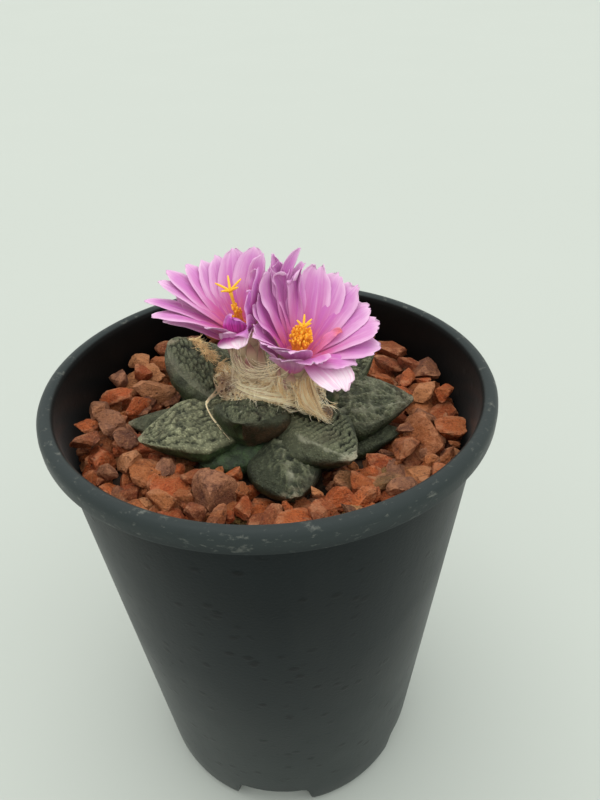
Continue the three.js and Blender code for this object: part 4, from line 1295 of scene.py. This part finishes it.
def make_wool(plant):
    b = Build()
    tree = BVHTree.FromObject(plant, bpy.context.evaluated_depsgraph_get())
    ways, faces = sphere(4)
    for k, (middle, half) in enumerate(WOOL):
        verts = []
        for d in ways:
            p = Vector(d)
            size = 0.9 + 0.07 * noise.noise(p * 2.3 + Vector((k * 5, 0, 0))) + 0.05 * noise.noise(p * 7)
            verts.append([middle[i] + half[i] * d[i] * size for i in range(3)])
        b.add(verts, faces, None, 1, tone=0.4)
    random = seeded(77)
    radii = (0.8, 1.0, 1.0, 0.95, 0.8, 0.6, 0.3)

    def shake(size):
        return wobble(random, size)

    def settle(q, clear, hug):
        """Keeps a point over the wool and the skin, and near the wool if it hugs it."""
        far, out = wool_field(q)
        if far < clear or (hug and far < 2.5):
            q = q + out * (clear - far)
        hit, normal, _, _ = tree.find_nearest(q * MM)
        if hit is not None and (q * MM - hit).dot(normal) < SKIN_NEAR:
            q = (hit + normal * SKIN_LIFT) / MM
        return q

    def draw(points, radius, tone):
        b.add(*tube_mesh(points, [radius * r for r in radii], 3), tone=clamp(tone))

    def grow(p, heading, length, radius, tone, clear, hug=True, curl=0.5, droop=0.0):
        """A hair that wanders off from a point, over the wool and the skin."""
        points, q = [], settle(p, clear, True)
        drift = shake(curl)
        for _ in range(7):
            points.append(q)
            heading = (heading + drift * 0.3 + shake(0.3 * curl) + Vector((0, 0, -droop))).normalized()
            q = settle(q + heading * (length / 6), clear, hug)
        draw(points, radius, tone)

    def uneven_tone(tone):
        """Mostly light bundles with dark ones between them."""
        return 0.1 + 0.2 * random() if random() < 0.2 else clamp(tone + 0.15 + 0.5 * (random() - 0.5))

    # the crown, matted in every direction but mostly round it and outwards
    for _ in range(560):
        middle, half = WOOL[(0, 0, 1, 1, 0, 2, 3)[int(random() * 7)]]
        d = (shake(2) + Vector((0, 0, 0.5))).normalized()
        p = Vector([middle[i] + half[i] * d[i] for i in range(3)])
        round_way = Vector((-d.y, d.x, 0)) * (1 if random() > 0.35 else -1)
        heading = (round_way * 0.9 + Vector((d.x, d.y, 0)) * 0.5 + shake(0.9)).normalized()
        tone, length, clear = uneven_tone(0.7), 3 + 4 * random(), 0.05 + 0.6 * random()
        for _ in range(4):
            grow(p + shake(0.5), heading, length, 0.04 + 0.035 * random(), tone + 0.3 * (random() - 0.5),
                 clear, curl=0.45)
    # combed locks, each of thin bundles that narrow to the end
    for count, spread, tone, path in LOCKS:
        for _ in range(count // 6):
            side, start, reach = shake(2 * spread), 0.3 * random() ** 2, 0.6 + 0.4 * random()
            wave, shade = shake(1.3), uneven_tone(tone)
            for _ in range(6):
                near, points = shake(0.36), []
                for k in range(7):
                    t = start + (1 - start) * reach * k / 6
                    q = follow(path, t) + side * (1 - 0.75 * t * t) + near * (1 - 0.5 * t)
                    q = q + wave * (sin(5 * t + side.x * 2) * 0.45 * spread)
                    points.append(settle(q, 0.1 + 0.6 * random(), False))
                draw(points, 0.036 + 0.034 * random(), shade + 0.4 * (random() - 0.5))
    # fine pale hairs wrapped round the two floral tubes
    for bloom in (LEFT, RIGHT):
        foot = Vector(bloom["foot"])
        for _ in range(150):
            a = 2 * pi * random()
            r = 3.6 + 1.3 * random() ** 1.6
            p = Vector((foot.x + r * cos(a) - 0.5, foot.y + r * sin(a), 122 + 4.4 * random() ** 1.5))
            turn = 1 if random() > 0.5 else -1
            heading = Vector((-sin(a) * turn, cos(a) * turn, 0.25 * (random() - 0.5)))
            grow(p, heading, 4 + 4 * random(), 0.03 + 0.02 * random(), 0.6 + 0.4 * random(),
                 0.1 + 0.7 * random(), False, curl=0.35, droop=0.04)
    # long pale hairs that sweep in arcs across the front of the tubes
    for path in ARCS:
        for _ in range(9):
            start, reach, bend = 0.35 * random() ** 2, 0.6 + 0.4 * random(), shake(2.6)
            points = []
            for k in range(7):
                t = start + (1 - start) * reach * k / 6
                sway = bend * (0.6 + 0.5 * sin(4 * t + bend.x))
                points.append(settle(follow(path, t) + sway, 0.3, False))
            draw(points, 0.035 + 0.03 * random(), 0.8 + 0.2 * random())
    crown, b = b, Build()
    # the tuft that falls over a tubercle, in thin bundles that gather to a tail
    for _ in range(170):
        a, r, shift = 2 * pi * random(), sqrt(random()), 0.14 * (random() - 0.4)
        reach, bend, shade = 0.4 + 0.6 * random() ** 1.6, shake(1.6), 0.3 + 0.7 * random()
        off = Vector((0.95 * r * cos(a), 0.35 * r * cos(a), 0.6 * r * sin(a)))
        for _ in range(8):
            near, points, cut = shake(0.7), [], 1 - 0.25 * random()
            for k in range(7):
                t = shift + reach * cut * k / 6
                wide = lerp(1, 1.9, sin(pi * min(1, clamp(t) / 0.8))) * lerp(1, 0.3, smooth(0.6, 1, t))
                q = follow(TUFT, t) + near * (0.5 + 0.6 * sin(pi * clamp(t)))
                q = q + off * wide + bend * sin(pi * clamp(t) * 1.3)
                points.append(settle(q, 0.1 + 0.4 * r, False))
            draw(points, 0.03 + 0.03 * random(), shade + 0.4 * (random() - 0.5))
    # short felt along the side of the tubercle at the left
    for _ in range(330):
        t = random()
        p = follow(FELT, t) + shake(1.5 + 0.8 * t)
        way = (follow(FELT, min(1, t + 0.1)) - follow(FELT, t)).normalized()
        heading = (way * 0.9 + shake(1.6)).normalized()
        shade = 0.1 + 0.55 * random() - 0.3 * smooth(0.6, 1, t)
        for _ in range(5):
            grow(p + shake(0.5), heading, 1.4 + 1.4 * random(), 0.04 + 0.03 * random(), shade, 0.05,
                 False, 0.9)
    # a thin lock that winds down between two tubercles, of a few strands that part and meet
    for _ in range(5):
        off, phase, start, reach = shake(0.9), 6.28 * random(), 0.25 * random(), 0.75 + 0.25 * random()
        for _ in range(6):
            near, points = shake(0.26), []
            for i in range(7):
                t = start + (reach - start) * i / 6
                sway = (0.35 + 0.65 * sin(4.5 * t + phase)) * (1.15 - t)
                points.append(settle(follow(STRAND, t) + off * sway + near, 0.1, False))
            draw(points, 0.04 + 0.03 * random(), 0.6 + 0.4 * random())
    # loose hairs
    for _ in range(150):
        a = 2 * pi * random()
        p = Vector((6.5 * cos(a) + 1, 4.6 * sin(a) - 1, 123.6 + random()))
        heading = Vector((cos(a), sin(a), 0.5)) + shake(1.4)
        grow(p, heading, 4 + 4 * random(), 0.03 + 0.015 * random(), 0.8 + 0.2 * random(), 0.4, False,
             0.8, 0.22)
    # dry brown scraps caught in the wool
    for k in range(16):
        p = follow(SCRAPS, random()) + shake(2.2)
        points, faces, _ = stone_form(0.25 + 0.35 * random(), 700 + k, 1)
        p = settle(p, 0.2, True)
        b.add([q + p for q in points], faces, None, 1, tone=-0.3 - 0.25 * random())
    for build, name in ((crown, "crown_wool_hair"), (b, "side_tufts")):
        wool = build.object(name, ["hair", "wool"])
        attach(wool, "root")
        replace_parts(wool, "crown_wool")


def pale_floor():
    n = Nodes("pale_floor")
    colour = n.mix(n.noise(3, 2, 0.5), (189, 193, 187), (191, 195, 189))
    return n.finish(colour, 0.8, Specular_IOR_Level=0.05)


MATERIALS = dict(pot=pot_plastic(), soil=soil_earth(), stone=stone_red(), cactus=cactus_skin(),
                 hair=wool_hair(), wool=wool_mass(), petal=petal_skin(), bract=bract_skin(),
                 stamen=stamen_skin(), floor=pale_floor())

for obj in bpy.data.objects:
    if obj.type == "MESH" and obj.name.split(".")[0] == "soil":
        obj.data.materials.clear()
        obj.data.materials.append(MATERIALS["soil"])
make_pot()
cactus = make_cactus()
make_gravel(cactus)
make_flower(LEFT, "left_bloom", "flower_left_petals")
make_flower(RIGHT, "right_bloom", "flower_right_petals")
make_stamens(LEFT, "left_stamens", "flower_left_stamens", 18, 1.1, 5.8, 9.0, 5, 3.0)
make_stamens(RIGHT, "right_stamens", "flower_right_stamens", 150, 2.4, 6.6, 6.8, 5, 1.7)
make_wool(cactus)


# Floor, light and camera

# Radius and height of the rings of the floor, which rises to a far wall
FLOOR_RINGS = [(20, 0), (60, 0), (200, 0), (600, 0), (2000, 0), (4000, 90), (8000, 700), (14000, 2200),
               (20000, 4400)]
floor = Build()
floor.add([(r * cos(t), r * sin(t), z) for r, z in FLOOR_RINGS for t in turns(96)],
          ring_faces(len(FLOOR_RINGS), 96) + [tuple(range(96))])
floor.object("studio_floor", ["floor"])

world = bpy.data.worlds.new("soft_room")
bpy.context.scene.world = world
world.use_nodes = True
sky = world.node_tree.nodes["Background"]
sky.inputs["Color"].default_value = (0.95, 0.99, 0.96, 1)
sky.inputs["Strength"].default_value = 1.04


def soft_sun(name, way, power, spread, colour):
    """Even light from a broad patch of sky in the given direction."""
    data = bpy.data.lights.new(name, "SUN")
    data.energy, data.angle, data.color = power, radians(spread), colour
    obj = bpy.data.objects.new(name, data)
    bpy.context.collection.objects.link(obj)
    obj.rotation_euler = Vector(way).to_track_quat("Z", "Y").to_euler()


soft_sun("window", (-0.12, 0.12, 1.0), 0.9, 50, (1.0, 0.99, 0.96))
soft_sun("fill", (0.7, -0.5, 0.8), 0.5, 70, (0.95, 1.0, 0.98))

# the camera looks down by the pitch and is turned about its own view by the tilt
pitch, tilt = radians(34.09), radians(-1.76)
forward = Vector((0, cos(pitch), -sin(pitch)))
right = Vector((1, 0, 0))
upward = right.cross(forward)
right, upward = (right * cos(tilt) + upward * sin(tilt),
                 upward * cos(tilt) - right * sin(tilt))
lens = bpy.data.cameras.new("photo_view")
lens.lens, lens.sensor_width, lens.sensor_fit = 27.0, 36.0, "AUTO"
lens.clip_start, lens.clip_end = 0.005, 20
camera = bpy.data.objects.new("photo_view", lens)
bpy.context.collection.objects.link(camera)
pose = Matrix((right, upward, -forward)).transposed().to_4x4()
pose.translation = Vector((0.00693, -0.11825, 0.19656))
camera.matrix_world = pose
bpy.context.scene.camera = camera
bpy.context.scene.view_settings.view_transform = "Standard"
